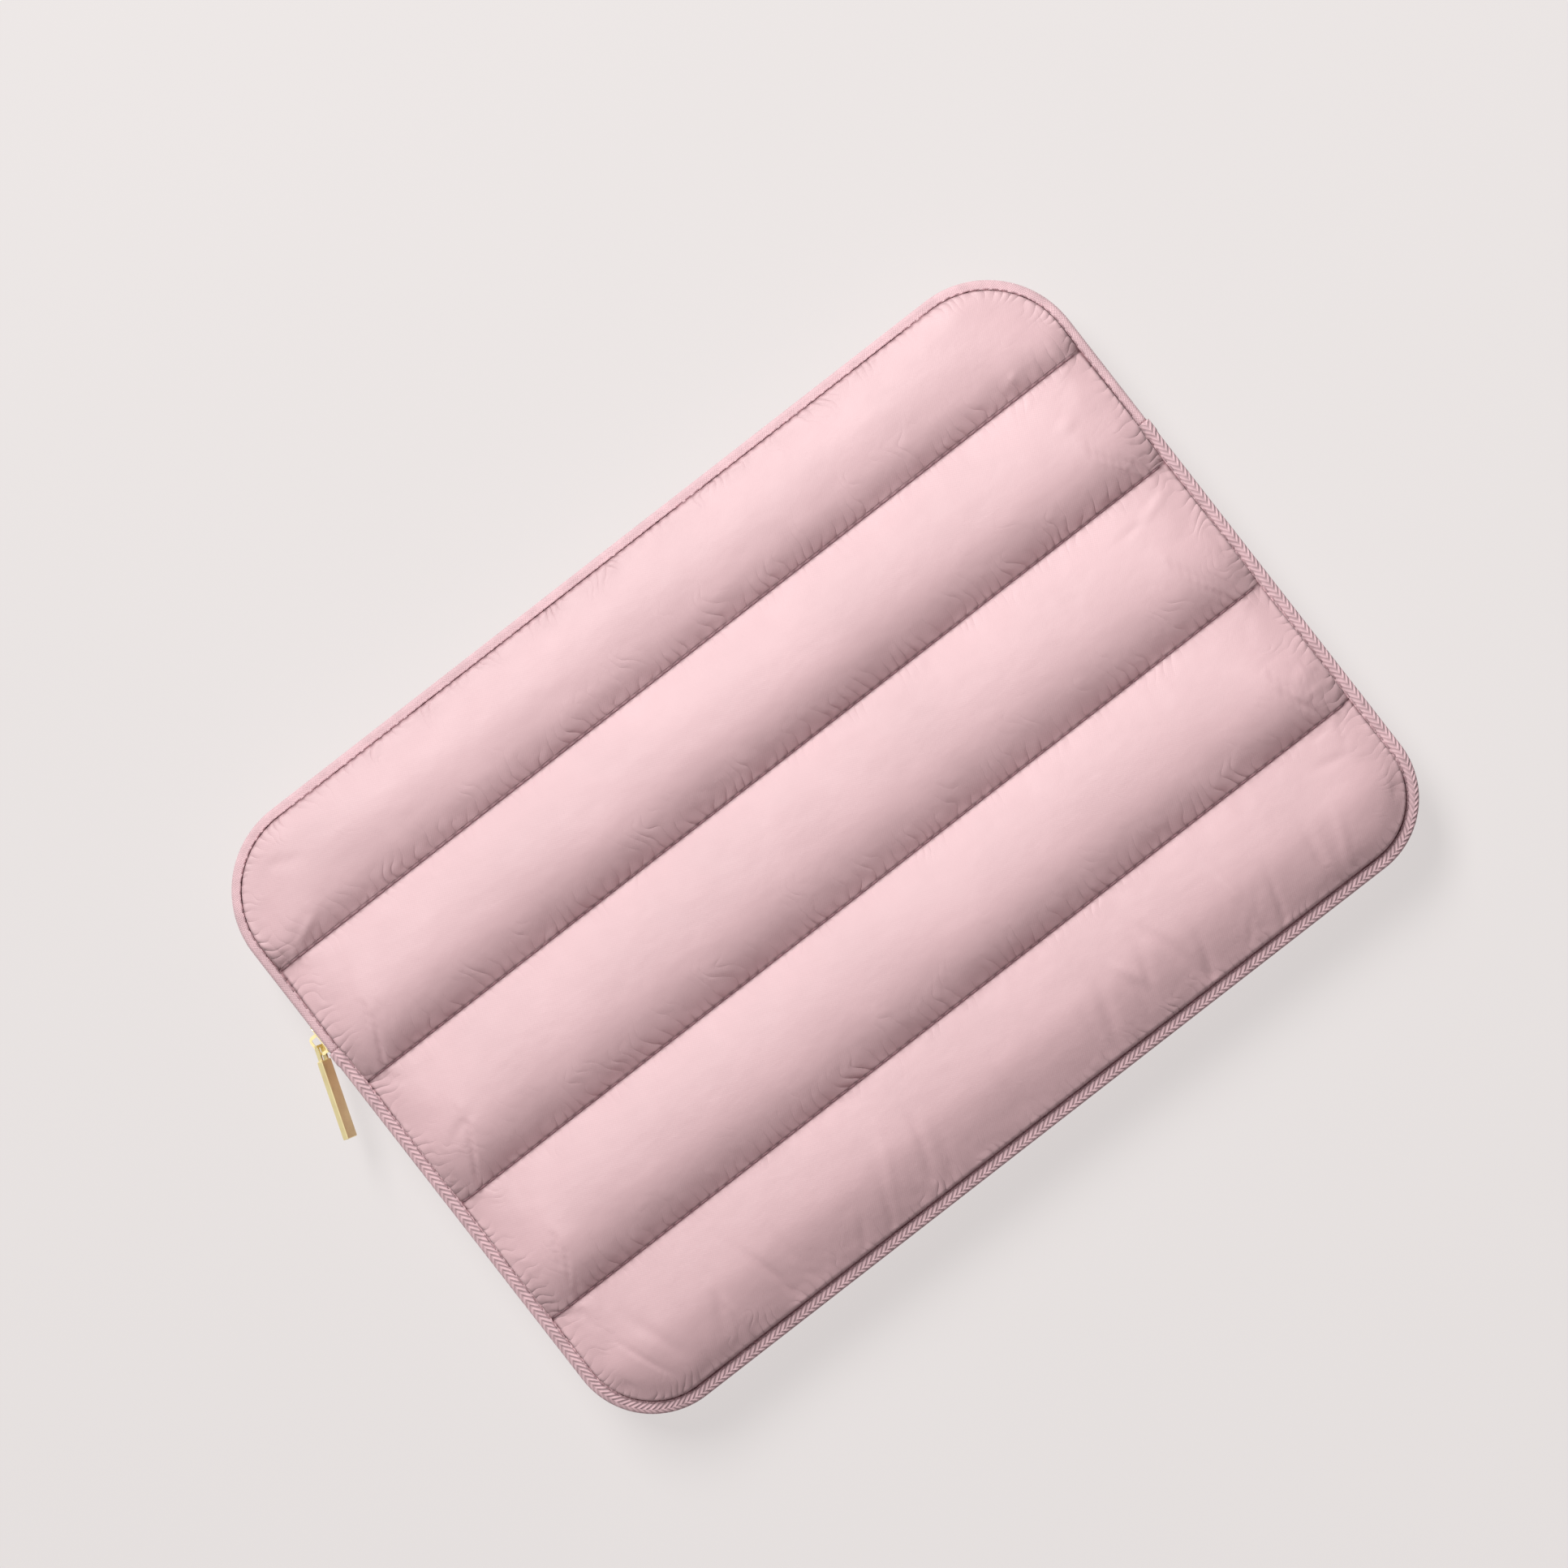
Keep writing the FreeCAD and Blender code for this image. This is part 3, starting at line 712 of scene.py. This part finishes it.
def creases(x, y, inset, seed):
    """Long soft creases that run in from the edges, most of them near the closed edge."""
    made = np.zeros_like(x)
    random = np.random.default_rng(seed + 100)
    for _ in range(CREASE_COUNT):
        closed_edge = random.uniform() < EDGE_SHARE
        if closed_edge:
            place_x = random.uniform(-150, 150)
            place_y = random.uniform(-112, -92)
            turn = math.pi / 2 + random.uniform(-0.55, 0.55)
            length = random.uniform(7, 15)
        else:
            place_x = random.choice([-1, 1]) * random.uniform(140, 158)
            place_y = random.uniform(-90, 105)
            turn = random.uniform(-0.5, 0.5)
            length = random.uniform(3, 7)
        width = random.uniform(1.2, 2.4)
        depth = random.uniform(0.25, 0.6) * random.choice([-1.0, -1.0, 1.0])
        curve = 0.012 * random.uniform(-1, 1)
        run = (x - place_x) * math.cos(turn) + (y - place_y) * math.sin(turn)
        off = (y - place_y) * math.cos(turn) - (x - place_x) * math.sin(turn) + curve * run ** 2
        made += depth * np.exp(-(run / length) ** 2 - (off / width) ** 2) * (1 - 0.8 * off / width)
    return made * ramp(inset, 4.5, 8)


SEAM_CROWDING = 0.07  # how much closer together a panel's rows are beside the seams


def grid_rows():
    """The y of every row of the coarse grid, closer beside the seams and at the corners."""
    rows = []

    def add(values):
        rows.extend(values if not rows else values[1:])

    closed = CLOSED_R - COVER_INSET
    mouth = MOUTH_R - COVER_INSET
    add(LOWER - closed * np.cos(np.linspace(0, math.pi / 2, 13)))
    add(np.linspace(LOWER, SEAMS[3], 12) + np.sin(np.linspace(0, math.pi, 12)) * 0.6)
    t = np.linspace(0, 1, 25)
    for low, high in ((SEAMS[3], SEAMS[2]), (SEAMS[2], SEAMS[1]), (SEAMS[1], SEAMS[0])):
        add(low + (high - low) * (t - SEAM_CROWDING * np.sin(2 * math.pi * t)))
    add(np.linspace(SEAMS[0], UPPER, 7))
    add(UPPER + mouth * np.sin(np.linspace(0, math.pi / 2, 15)))
    return np.array(rows)


def half_width(y, inset):
    """Half the width of the sleeve at a height on the page, inset from its outside edge."""
    radius = np.where(y > 0, MOUTH_R, CLOSED_R)
    past = np.clip(np.abs(y) - (HALF_Y - radius), 0, radius - inset)
    return HALF_X - radius + np.sqrt(np.maximum((radius - inset) ** 2 - past ** 2, 0))


def page(rows, columns, inset):
    """Grid of x and y over the rounded outline, closer together towards the short sides."""
    even = np.linspace(-1, 1, columns)
    share = mix(even, np.sin(even * math.pi / 2), EDGE_CROWDING)
    x = half_width(rows, inset)[:, None] * share[None, :]
    return x, np.repeat(rows[:, None], columns, axis=1)


# ---- cloth simulation
SIM_UNIT = 0.01  # simulated size of a millimetre, so that the cloth is of a usual size
SIM_FRAMES = 24
SLACK_X = 0.022  # spare cloth along the seams
SLACK_Y = 0.045  # and across them
MAX_SINK = 0.6  # the wadding stops the cloth from sinking further than this
MARGIN = 20  # columns at each end that are left out of a row's mean movement
CLOTH_SETTINGS = {"quality": 6, "mass": 0.12, "tension_stiffness": 25, "compression_stiffness": 18,
                  "shear_stiffness": 8, "bending_stiffness": 0.05, "air_damping": 3,
                  "vertex_group_mass": "held", "use_pressure": True, "uniform_pressure_force": 6.0}


def settle(x, y, z):
    """Let pressure fill the cloth between its seams, and return the folds that it makes.

    Each row's mean movement is taken out, because a channel's profile is already in its height.
    """
    held = np.zeros(x.shape, bool)
    held[[0, -1], :] = True
    held[:, [0, -1]] = True
    for seam in SEAMS:
        held[np.abs(y[:, 0] - seam).argmin(), :] = True
    start = np.stack([x, y, z], axis=2)
    made = new_object("settling", start.reshape(-1, 3) * (SIM_UNIT / MM),
                      grid_faces(*x.shape), bpy.data.materials.new("settling"))
    group = made.vertex_groups.new(name="held")
    group.add(np.flatnonzero(held.ravel()).tolist(), 1.0, "REPLACE")
    made.shape_key_add(name="Basis")
    rest = made.shape_key_add(name="rest")
    cut = start * (1 + SLACK_X, 1 + SLACK_Y, 1 + SLACK_Y)
    rest.data.foreach_set("co", (cut * SIM_UNIT).astype(np.float32).ravel())
    cloth = made.modifiers.new("cloth", "CLOTH")
    for key, value in CLOTH_SETTINGS.items():
        setattr(cloth.settings, key, value)
    cloth.settings.rest_shape_key = rest
    cloth.settings.effector_weights.gravity = 0
    cloth.collision_settings.use_collision = False
    cloth.point_cache.frame_end = SIM_FRAMES
    scene = bpy.context.scene
    for frame_number in range(1, SIM_FRAMES + 1):
        scene.frame_set(frame_number)
    filled = made.evaluated_get(bpy.context.evaluated_depsgraph_get()).to_mesh()
    after = np.empty(len(filled.vertices) * 3, np.float32)
    filled.vertices.foreach_get("co", after)
    after = after.reshape(start.shape) / SIM_UNIT
    scene.frame_set(1)
    bpy.data.objects.remove(made)
    moved = after - start
    moved = moved - moved[:, MARGIN:-MARGIN].mean(axis=1, keepdims=True)
    moved[..., 2] = np.maximum(moved[..., 2], -MAX_SINK)
    return moved * ramp(inset_of(x, y), 4.5, 13.0)[..., None]


# ---- sheets and slabs
def closed_sheet(name, outer, inner, material):
    """Closed sheet with a fine outer face and an inner face of every second point."""
    rows, columns = outer.shape[:2]
    vertices = np.concatenate([outer.reshape(-1, 3), inner.reshape(-1, 3)])
    below_rows, below_columns = inner.shape[:2]
    first = rows * columns
    faces = grid_faces(rows, columns)
    faces += grid_faces(below_rows, below_columns, first, flip=True)

    def rim(a, b, c, low_a, low_c):
        """Join three points of the outer face to two of the inner one."""
        faces.extend([[a, b, low_a], [b, low_c, low_a], [b, c, low_c]])

    for side in (0, 1):
        row, below_row = side * (rows - 1), side * (below_rows - 1)
        for k in range(below_columns - 1):
            top = row * columns + 2 * k
            low = first + below_row * below_columns + k
            rim(top, top + 1, top + 2, low, low + 1)
        column, below_column = side * (columns - 1), side * (below_columns - 1)
        for k in range(below_rows - 1):
            top = 2 * k * columns + column
            low = first + k * below_columns + below_column
            rim(top, top + columns, top + 2 * columns, low, low + below_columns)
    return closed_object(name, vertices, faces, material)


SLAB_COLUMNS = 90


def slab(name, rows, inset, sign, upper, lower, material):
    """Closed layer between two skins; each skin gives a height from x and y."""
    columns = SLAB_COLUMNS
    x, y = page(rows, columns, inset)
    skins = [np.stack([x, y, MID_Z + sign * height(x, y)], axis=2) for height in (upper, lower)]
    count = x.size
    rim = list(range(columns))
    rim += [row * columns + columns - 1 for row in range(1, len(rows))]
    rim += [count - 2 - k for k in range(columns - 1)]
    rim += [row * columns for row in range(len(rows) - 2, 0, -1)]
    faces = grid_faces(*x.shape) + grid_faces(*x.shape, first=count, flip=True)
    faces += [[a, b, b + count, a + count] for a, b in zip(rim, rim[1:] + rim[:1])]
    return closed_object(name, np.concatenate(skins).reshape(-1, 3), faces, material)


def on_sleeve(piece, slot, *nodes):
    """The piece is part of the sleeve's body."""
    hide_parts(*nodes)
    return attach(piece, "sleeve")


def across_fold(piece, slot, *nodes):
    """The piece lies across the fold: on the sleeve it is held below the zip's ends and lifts with
    the flap above them. Here its CAD nodes are hidden and its place is baked into its mesh; it is not
    attached to anything.
    """
    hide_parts(*nodes)
    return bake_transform(piece)


NYLON = nylon()
LINING = lining()
HERRINGBONE = herringbone()
NARROW_TAPE = narrow_tape()
ZIP_CLOTH = zip_cloth()
COIL_NYLON = coil_nylon()
QUILT_THREAD = sewing_thread("quilting_thread", THREAD_PINK)
TAPE_THREAD = sewing_thread("tape_thread", TAPE_THREAD_PINK)
WADDING = wadding_stuff()
FOAM = foam_stuff()
GOLD_METAL = gold()

# ---- covers
ROWS = grid_rows()
FINE_ROWS = finer(ROWS, 0)
coarse_x, coarse_y = page(ROWS, COLUMNS, COVER_INSET)
fine_x, fine_y = page(FINE_ROWS, 2 * COLUMNS - 1, COVER_INSET)
FRONT_SEED, BACK_SEED = 11, 61
settled = np.zeros((*coarse_x.shape, 3))
start_folds = 0.5 * puckers(coarse_x, coarse_y, FRONT_SEED)
settled = settle(coarse_x, coarse_y, puffed(coarse_x, coarse_y, FRONT_SEED) + start_folds)
fine_settled = finer(finer(settled, 0), 1)


SEAM_SHADE = 0.65  # half width of the painted shade line along each seam
TAPE_EDGE = 4.2  # about where the tapes end, for the shading
EDGE_SHADE_SHARE = (0.12, 0.7, 0.75)  # how much shade is painted beside the tapes: closed edge, short sides, mouth
EDGE_STRETCH = (1.2, 1.0, 1.9)  # how much sooner its gathers end, in that order
FAR = 60.0  # a distance at which no gathers show
REST_ROOM = 0.5  # the back starts to flatten this far above where it rests


def soft_floor(z):
    """Flatten whatever would hang below the resting face onto it."""
    flattened = REST_ROOM * np.exp(np.minimum(z - REST_ROOM, 0) / REST_ROOM)
    return np.where(z < REST_ROOM, flattened, z)


def store(made, name, values):
    """Keep a value at every point of a closed sheet, outer face first."""
    layer = made.data.attributes.new(name, "FLOAT", "POINT")
    both = np.concatenate([values.ravel(), values[::2, ::2].ravel()])
    layer.data.foreach_set("value", both.astype(np.float32))


def cover(name, sign, seed, moved):
    """One quilted shell, from its fine grid; the back one lies flat where it rests."""
    height = puffed(fine_x, fine_y, seed) + puckers(fine_x, fine_y, seed)
    x = fine_x + moved[..., 0]
    y = fine_y + moved[..., 1]
    z = MID_Z + sign * (height + moved[..., 2])
    if sign < 0:
        z = soft_floor(z)
    outer = np.stack([x, y, z], axis=2)
    inner = (outer - sign * CLOTH * outward(outer))[::2, ::2]
    made = closed_sheet(name, outer, inner, NYLON)
    edge_gap = np.maximum(inset_of(fine_x, fine_y) - TAPE_EDGE, 0)
    # painted shade: a dark line along each seam and beside the tapes, where the cloth dips into a
    # groove
    seam = np.exp(-(seam_distance(fine_y) / SEAM_SHADE) ** 2)
    edge = np.exp(-(edge_gap / SEAM_SHADE) ** 2) * by_side(fine_y, *EDGE_SHADE_SHARE)
    gap = seam_gap(fine_y)
    store(made, "seam_shade", np.maximum(seam, edge))
    store(made, "edge_gap", edge_gap * by_side(fine_y, *EDGE_STRETCH))
    store(made, "edge_along", along_edge(fine_x, fine_y))
    store(made, "steep_gap", np.where(gap > 0, gap, FAR))
    store(made, "gentle_gap", np.where(gap < 0, -gap, FAR))
    return made


front_cover = cover("front_cover", 1, FRONT_SEED, fine_settled)
across_fold(front_cover, "shell_nylon", "front_shell_lower", "front_shell_flap")
back_cover = cover("back_cover", -1, BACK_SEED, fine_settled[:, ::-1] * (-1, 1, 1))
on_sleeve(back_cover, "shell_nylon", "back_shell")


# ---- wadding, foam and lining
LAYER_INSET = 4.4  # the inner layers end this far in
WADDING_INSET = 6.0
SHELL_GAP = 0.9  # between the wadding and the shell
EDGE_GAP = 1.6  # more of it near the edges
CROWN_GAP = 1.6  # below the CAD's crown
FOAM_GAP = 0.15
REST_GAP = 0.4  # between the back's wadding and the part of the shell that lies flat
SEAM_CLEAR = 0.8  # between the wadding and a quilting seam


def skin(edge, inner, run):
    """Height of a layer: an edge value that rises to an inner one over a run."""
    def height(x, y):
        return mix(edge, inner, quarter_wave(inset_of(x, y), LAYER_INSET, run))
    return height


POCKET_TOP = LINING_TOP - CLOTH
pocket_skin = skin(edge=4.4, inner=POCKET_TOP, run=9.4)
lining_skin = skin(edge=5.0, inner=LINING_TOP, run=9.2)
flat_foam = skin(edge=6.2, inner=FOAM_TOP, run=9.5)
SEAM_REACH = 2.0  # width of the dent that a seam leaves in the foam


def foam_skin(x, y):
    """Height of the foam, dented along the seams."""
    return flat_foam(x, y) - SEAM_SINK * np.exp(-(seam_distance(y) / SEAM_REACH) ** 2)


def wadding_top(x, y):
    """Height of the wadding: clear of the shell, more so near the edges, and on top of the foam."""
    clear = SHELL_GAP + EDGE_GAP * (1 - ramp(inset_of(x, y), 9, 20))
    height = np.minimum(puffed(x, y, FRONT_SEED) - CLOTH - clear, CROWN - CLOTH - CROWN_GAP)
    return np.maximum(height, foam_skin(x, y) + FOAM_GAP)


def back_wadding_top(x, y):
    """The same for the back, clear of the face that the sleeve rests on."""
    return np.minimum(wadding_top(x, y), MID_Z - CLOTH - REST_GAP)


def wadding_rows(number):
    """The y of each row of the wadding in one channel, clear of its seams."""
    limits = [HALF_Y - WADDING_INSET, *SEAMS, WADDING_INSET - HALF_Y]
    return np.linspace(limits[number] + SEAM_CLEAR, limits[number - 1] - SEAM_CLEAR, 26)


def layer_rows():
    """The y of each row of the foam and the lining, closer together at the seams and corners."""
    lower_corner = LOWER - (CLOSED_R - LAYER_INSET) * np.cos(np.linspace(0, math.pi / 2, 9))
    upper_corner = UPPER + (MOUTH_R - LAYER_INSET) * np.sin(np.linspace(0, math.pi / 2, 10))
    at_seams = [seam + np.array([-3.0, -1.5, 0, 1.5, 3.0]) for seam in SEAMS]
    between = np.unique(np.concatenate([np.linspace(LOWER, UPPER, 45)[1:], *at_seams]))
    return np.concatenate([lower_corner, between, upper_corner[1:]])


LAYER_ROWS = layer_rows()

for number in (1, 2, 3, 4, 5):
    front_fit = across_fold if number < 3 else on_sleeve
    for face, sign, fit, top, fill in (("front", 1, front_fit, wadding_top, 0.6),
                                       ("back", -1, on_sleeve, back_wadding_top, 0.55)):
        pad = slab(f"{face}_wadding_{number}", wadding_rows(number), WADDING_INSET, sign,
                   top, foam_skin, WADDING)
        fit(pad, "wadding", f"{face}_fill_{number}")

front_foam = slab("front_foam", LAYER_ROWS, LAYER_INSET, 1, foam_skin, lining_skin, FOAM)
across_fold(front_foam, "foam_sheet", "front_foam_lower", "front_foam_flap")
back_foam_sheet = slab("back_foam_sheet", LAYER_ROWS, LAYER_INSET, -1, foam_skin, lining_skin, FOAM)
on_sleeve(back_foam_sheet, "foam_sheet", "back_foam")
front_lining = slab("front_lining", LAYER_ROWS, LAYER_INSET, 1, lining_skin, pocket_skin, LINING)
across_fold(front_lining, "lining_cloth", "front_lining_lower", "front_lining_flap")
back_lining_cloth = slab("back_lining_cloth", LAYER_ROWS, LAYER_INSET, -1,
                         lining_skin, pocket_skin, LINING)
on_sleeve(back_lining_cloth, "lining_cloth", "back_lining")


# ---- stitches
QUILT_PROUD = 0.12  # height of the thread's middle above the shell in a seam
TAPE_PROUD = 0.05  # and above the edge tapes


def quilt_stitches(name, seam, sign):
    """Stitches sunk in one quilting seam."""
    x = np.arange(-QUILT_REACH, QUILT_REACH - STITCH_RUN, STITCH_PITCH)
    y = np.full_like(x, seam)

    def point(across):
        z = MID_Z + sign * (seam_skin(inset_of(across, y)) + QUILT_PROUD)
        return np.stack([across, y, z], axis=1)

    return stitches(name, point(x), point(x + STITCH_RUN), QUILT_THREAD)


for number, seam in enumerate(SEAMS, start=1):
    front_fit = across_fold if number == 1 else on_sleeve
    for face, sign, fit in (("front", 1, front_fit), ("back", -1, on_sleeve)):
        row = quilt_stitches(f"{face}_stitches_{number}", seam, sign)
        fit(row, "stitch_thread", f"{face}_quilt_thread_{number}")


def tape_stitches(name, beside_zip, sign, inset):
    """A row of stitches through the edge tape."""
    points, normals, s = edge_path(beside_zip, 0.5)
    starts = np.arange(2.0, s[-1] - 4.0, STITCH_PITCH)

    def point(place):
        index = np.clip(np.round(place / s[1]).astype(int), 0, len(s) - 1)
        flat = points[index] - inset * normals[index]
        height = np.full(len(index), TAPE_TOP + tape_tilt(inset) + TAPE_PROUD)
        return np.concatenate([flat, (MID_Z + sign * height)[:, None]], axis=1)

    return stitches(name, point(starts), point(starts + STITCH_RUN), TAPE_THREAD)


# ---- edge tapes
def tape_tilt(inset):
    """The tape's face leans up towards the pad."""
    return 0.10 * np.asarray(inset)


TAPE_INNER = TAPE_TOP - 0.62  # height of a tape's inner face
TAPE_WALL = 0.75  # thickness of a tape where it goes round the edge
SEWN_STITCH_INSET = 3.95  # how far in the sewn edge's tape is stitched
MOUTH_STITCH_INSET = 3.55  # and the tapes beside the zip
FOLDED_END = 5.0  # the tape's cut end is turned under over this length


# Sections are corners of (inset, height above the middle plane, corner radius).
def edge_section():
    """Tape folded round both faces of the sewn edge."""
    top, inner, wide = TAPE_TOP, TAPE_INNER, SEWN_TAPE_WIDTH
    loop = rounded_section([
        (0.0, -top, 1.7), (0.0, top, 1.7), (wide, top, 0.22), (wide, inner, 0.1),
        (TAPE_WALL, inner, 1.2), (TAPE_WALL, -inner, 1.2), (wide, -inner, 0.1), (wide, -top, 0.22)])
    return denser(loop, 0.8)


def edge_shape(inset, height, y, s):
    """Thicken the folded ends and let the tape wander a little."""
    wander = 0.14 * noise_1d(s / 9.0, 91) + 0.07 * noise_1d(s / 2.7, 92)
    folded = ramp(y, ZIP_END_Y - FOLDED_END, ZIP_END_Y - FOLDED_END + 0.5)
    side = np.sign(height)
    outer_face = np.abs(height) > TAPE_TOP - 0.3
    taller = np.where(outer_face, 0.28 * folded, 0.0)
    tilted = height + side * tape_tilt(inset) + side * taller
    wide = inset + np.where(inset > TAPE_WIDTH - 0.5, wander + 0.25 * folded, 0.0)
    wide = wide - np.where(inset < 0.5, 0.3 * folded, 0.0)
    return wide, tilted + side * 0.06 * noise_1d(s / 3.3 + side * 7, 93)


edge_tape = sweep("edge_tape", edge_path(False, 0.9), edge_section(), HERRINGBONE, edge_shape)
on_sleeve(edge_tape, "binding_tape", "edge_binding")
for sign, face in ((1, "front"), (-1, "back")):
    row = tape_stitches(f"edge_stitches_{face}", False, sign, SEWN_STITCH_INSET)
    on_sleeve(row, "stitch_thread", f"edge_stitching_{face}")


def mouth_section(sign):
    """Tape folded over one panel's edge beside the zip."""
    top, inner = TAPE_TOP, TAPE_INNER
    loop = rounded_section([
        (0.0, 3.8, 0.35), (0.0, top, 1.7), (TAPE_WIDTH, top, 0.22), (TAPE_WIDTH, inner, 0.1),
        (TAPE_WALL, inner, 0.8), (TAPE_WALL, 4.4, 0.1), (1.4, 4.4, 0.1), (1.4, 3.8, 0.2)])
    return denser(loop, 0.8) * (1, sign)


def mouth_shape(inset, height, y, s):
    """Let the tape wander and puff a little."""
    wander = 0.16 * noise_1d(s / 12.0, 94) + 0.08 * noise_1d(s / 3.1, 95)
    side = np.sign(height)
    wide = inset + np.where(inset > TAPE_WIDTH - 0.5, wander - 0.2, 0.0)
    wide = wide + np.where(inset < 0.5, 0.45, 0.0)
    puffy = 0.10 * noise_1d(s / 4.2, 96)
    raised = np.where(np.abs(height) > TAPE_TOP - 0.3, tape_tilt(inset) + puffy, 0.0)
    return wide, height + side * raised


ZIP_PATH = edge_path(True, 1.0)
for sign, face, fit in ((1, "front", across_fold), (-1, "back", on_sleeve)):
    tape = sweep(f"mouth_tape_{face}", ZIP_PATH, mouth_section(sign), NARROW_TAPE, mouth_shape)
    fit(tape, "binding_tape", f"mouth_binding_{face}")
    row = tape_stitches(f"mouth_stitches_{face}", True, sign, MOUTH_STITCH_INSET)
    fit(row, "stitch_thread", f"mouth_stitching_{face}")


# ---- zip
TOOTH_PITCH = 1.25
TOOTH_WIRE = 0.27  # radius of the coil's wire
TOOTH_STEPS = 14  # points in each turn of the coil
COIL_MIDDLE = (1.8, 1.05)  # inset and height of the coil's middle
COIL_REACH = (0.62, 1.22)  # how far the wire goes from there


def zip_section(sign):
    """Woven tape that turns down from under the binding to the coil."""
    loop = rounded_section([
        (1.55, 0.9, 0.15), (1.55, 4.4, 0.3), (4.8, 4.4, 0.1), (4.8, 3.9, 0.1), (2.05, 3.9, 0.2),
        (2.05, 0.9, 0.15)])
    return denser(loop, 0.9) * (1, sign)


def zip_teeth(name, sign, shift):
    """Continuous nylon coil wound over the edge of the zip tape."""
    points, normals, s = ZIP_PATH
    count = int(s[-1] / TOOTH_PITCH) - 1
    turn = np.arange(count * TOOTH_STEPS) / TOOTH_STEPS
    place = (turn + 0.5 + shift) * TOOTH_PITCH
    angle = 2 * math.pi * turn
    inset = COIL_MIDDLE[0] + COIL_REACH[0] * np.cos(angle)
    height = COIL_MIDDLE[1] + COIL_REACH[1] * np.sin(angle)
    height = np.where(height < 0.2, height - 0.1, height)
    centre, out = (np.stack([np.interp(place, s, values[:, k]) for k in range(2)], axis=1)
                   for values in (points, normals))
    line = np.concatenate([centre - inset[:, None] * out, (MID_Z + sign * height)[:, None]], axis=1)
    vertices, faces = tube(line, TOOTH_WIRE, sides=5)
    return closed_object(name, vertices, faces, COIL_NYLON)


for sign, face, fit, shift in ((1, "front", across_fold, 0.0), (-1, "back", on_sleeve, 0.5)):
    ribbon = sweep(f"zip_ribbon_{face}", ZIP_PATH, zip_section(sign), ZIP_CLOTH)
    teeth = zip_teeth(f"zip_teeth_{face}", sign, shift)
    for piece, part in ((ribbon, "zip_tape"), (teeth, "zip_coil")):
        ends = (f"{part}_{face}_ends",) if sign > 0 else ()
        fit(piece, part, f"{part}_{face}", *ends)

# ---- metal parts
METAL_BEVELS = {"zip_bottom_stop": 0.08, "zip_top_stops": 0.08, "slider_body": 0.12,
                "slider_bridge": 0.15, "pull_bar": 0.2}

for name, width in METAL_BEVELS.items():
    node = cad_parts[name]
    node.data.materials.clear()
    node.data.materials.append(GOLD_METAL)
    softened = node.modifiers.new("softened", "BEVEL")
    softened.width = width * MM
    softened.segments = 2
    softened.limit_method = "ANGLE"
    softened.angle_limit = math.radians(35)
    softened.harden_normals = True

# ---- floor, light and camera
# Places here are in metres.
FLOOR_HALF = 12.0
WINDOW_PLACE = (0.10, 1.9, 2.1)
WINDOW_AIM = (3.0, 0.0, 0.0)
WINDOW_SIZE = (2.0, 1.0)
WINDOW_POWER = 119.0
WINDOW_COLOUR = (1.0, 0.99, 0.98)
FILL_COLOUR = (1.0, 0.72, 0.78)
FILL_STRENGTH = 0.085
SKY_COLOUR = (1.0, 0.985, 0.97)
SKY_STRENGTH = (0.4, 0.95)  # low down and overhead
SKY_START = 0.1  # it brightens above this height of a direction
CAMERA_PLACE = (0.0022, 0.0229, 1.454)
CAMERA_LENS = 100
CAMERA_SENSOR = 36
VIEW_TURN = math.radians(-37.85)  # the sleeve lies turned in the picture

half = FLOOR_HALF / MM
floor = new_object("floor", [(-half, -half, 0), (half, -half, 0), (half, half, 0), (-half, half, 0)],
                   [[0, 1, 2, 3]], floor_paint())


def add_window():
    """One large soft light beyond the mouth, so each channel shades towards its closed side."""
    light = bpy.data.lights.new("window", "AREA")
    light.shape = "RECTANGLE"
    light.size, light.size_y = WINDOW_SIZE
    light.energy = WINDOW_POWER
    light.color = WINDOW_COLOUR
    made = add_object("window", light)
    made.location = WINDOW_PLACE
    direction = Vector(WINDOW_AIM) - Vector(WINDOW_PLACE)
    made.rotation_euler = direction.to_track_quat("-Z", "Y").to_euler()


def add_world():
    """A dim pink fill for the cloth, and a pale sky that shows only in reflections."""
    world = bpy.data.worlds.new("studio")
    world.use_nodes = True
    tree = world.node_tree
    fill = tree.nodes["Background"]
    fill.inputs["Color"].default_value = (*FILL_COLOUR, 1.0)
    fill.inputs["Strength"].default_value = FILL_STRENGTH
    direction = add_node(tree, "ShaderNodeTexCoord")
    height = add_node(tree, "ShaderNodeSeparateXYZ", {"Vector": direction.outputs["Generated"]})
    glow = add_node(tree, "ShaderNodeMapRange", {
        "Value": height.outputs["Z"], "From Min": SKY_START,
        "To Min": SKY_STRENGTH[0], "To Max": SKY_STRENGTH[1]})
    sky = add_node(tree, "ShaderNodeBackground", {
        "Color": (*SKY_COLOUR, 1.0), "Strength": glow.outputs["Result"]})
    ray = add_node(tree, "ShaderNodeLightPath")
    either = add_node(tree, "ShaderNodeMixShader", {
        0: ray.outputs["Is Glossy Ray"], 1: fill.outputs["Background"], 2: sky.outputs["Background"]})
    tree.links.new(either.outputs["Shader"], tree.nodes["World Output"].inputs["Surface"])
    bpy.context.scene.world = world


def add_camera():
    """Looks straight down."""
    data = bpy.data.cameras.new("camera")
    data.lens = CAMERA_LENS
    data.sensor_width = CAMERA_SENSOR
    camera = add_object("camera", data)
    camera.matrix_world = Matrix.Translation(CAMERA_PLACE) @ Matrix.Rotation(VIEW_TURN, 4, "Z")
    bpy.context.scene.camera = camera


add_window()
add_world()
add_camera()
bpy.context.scene.view_settings.view_transform = "Standard"
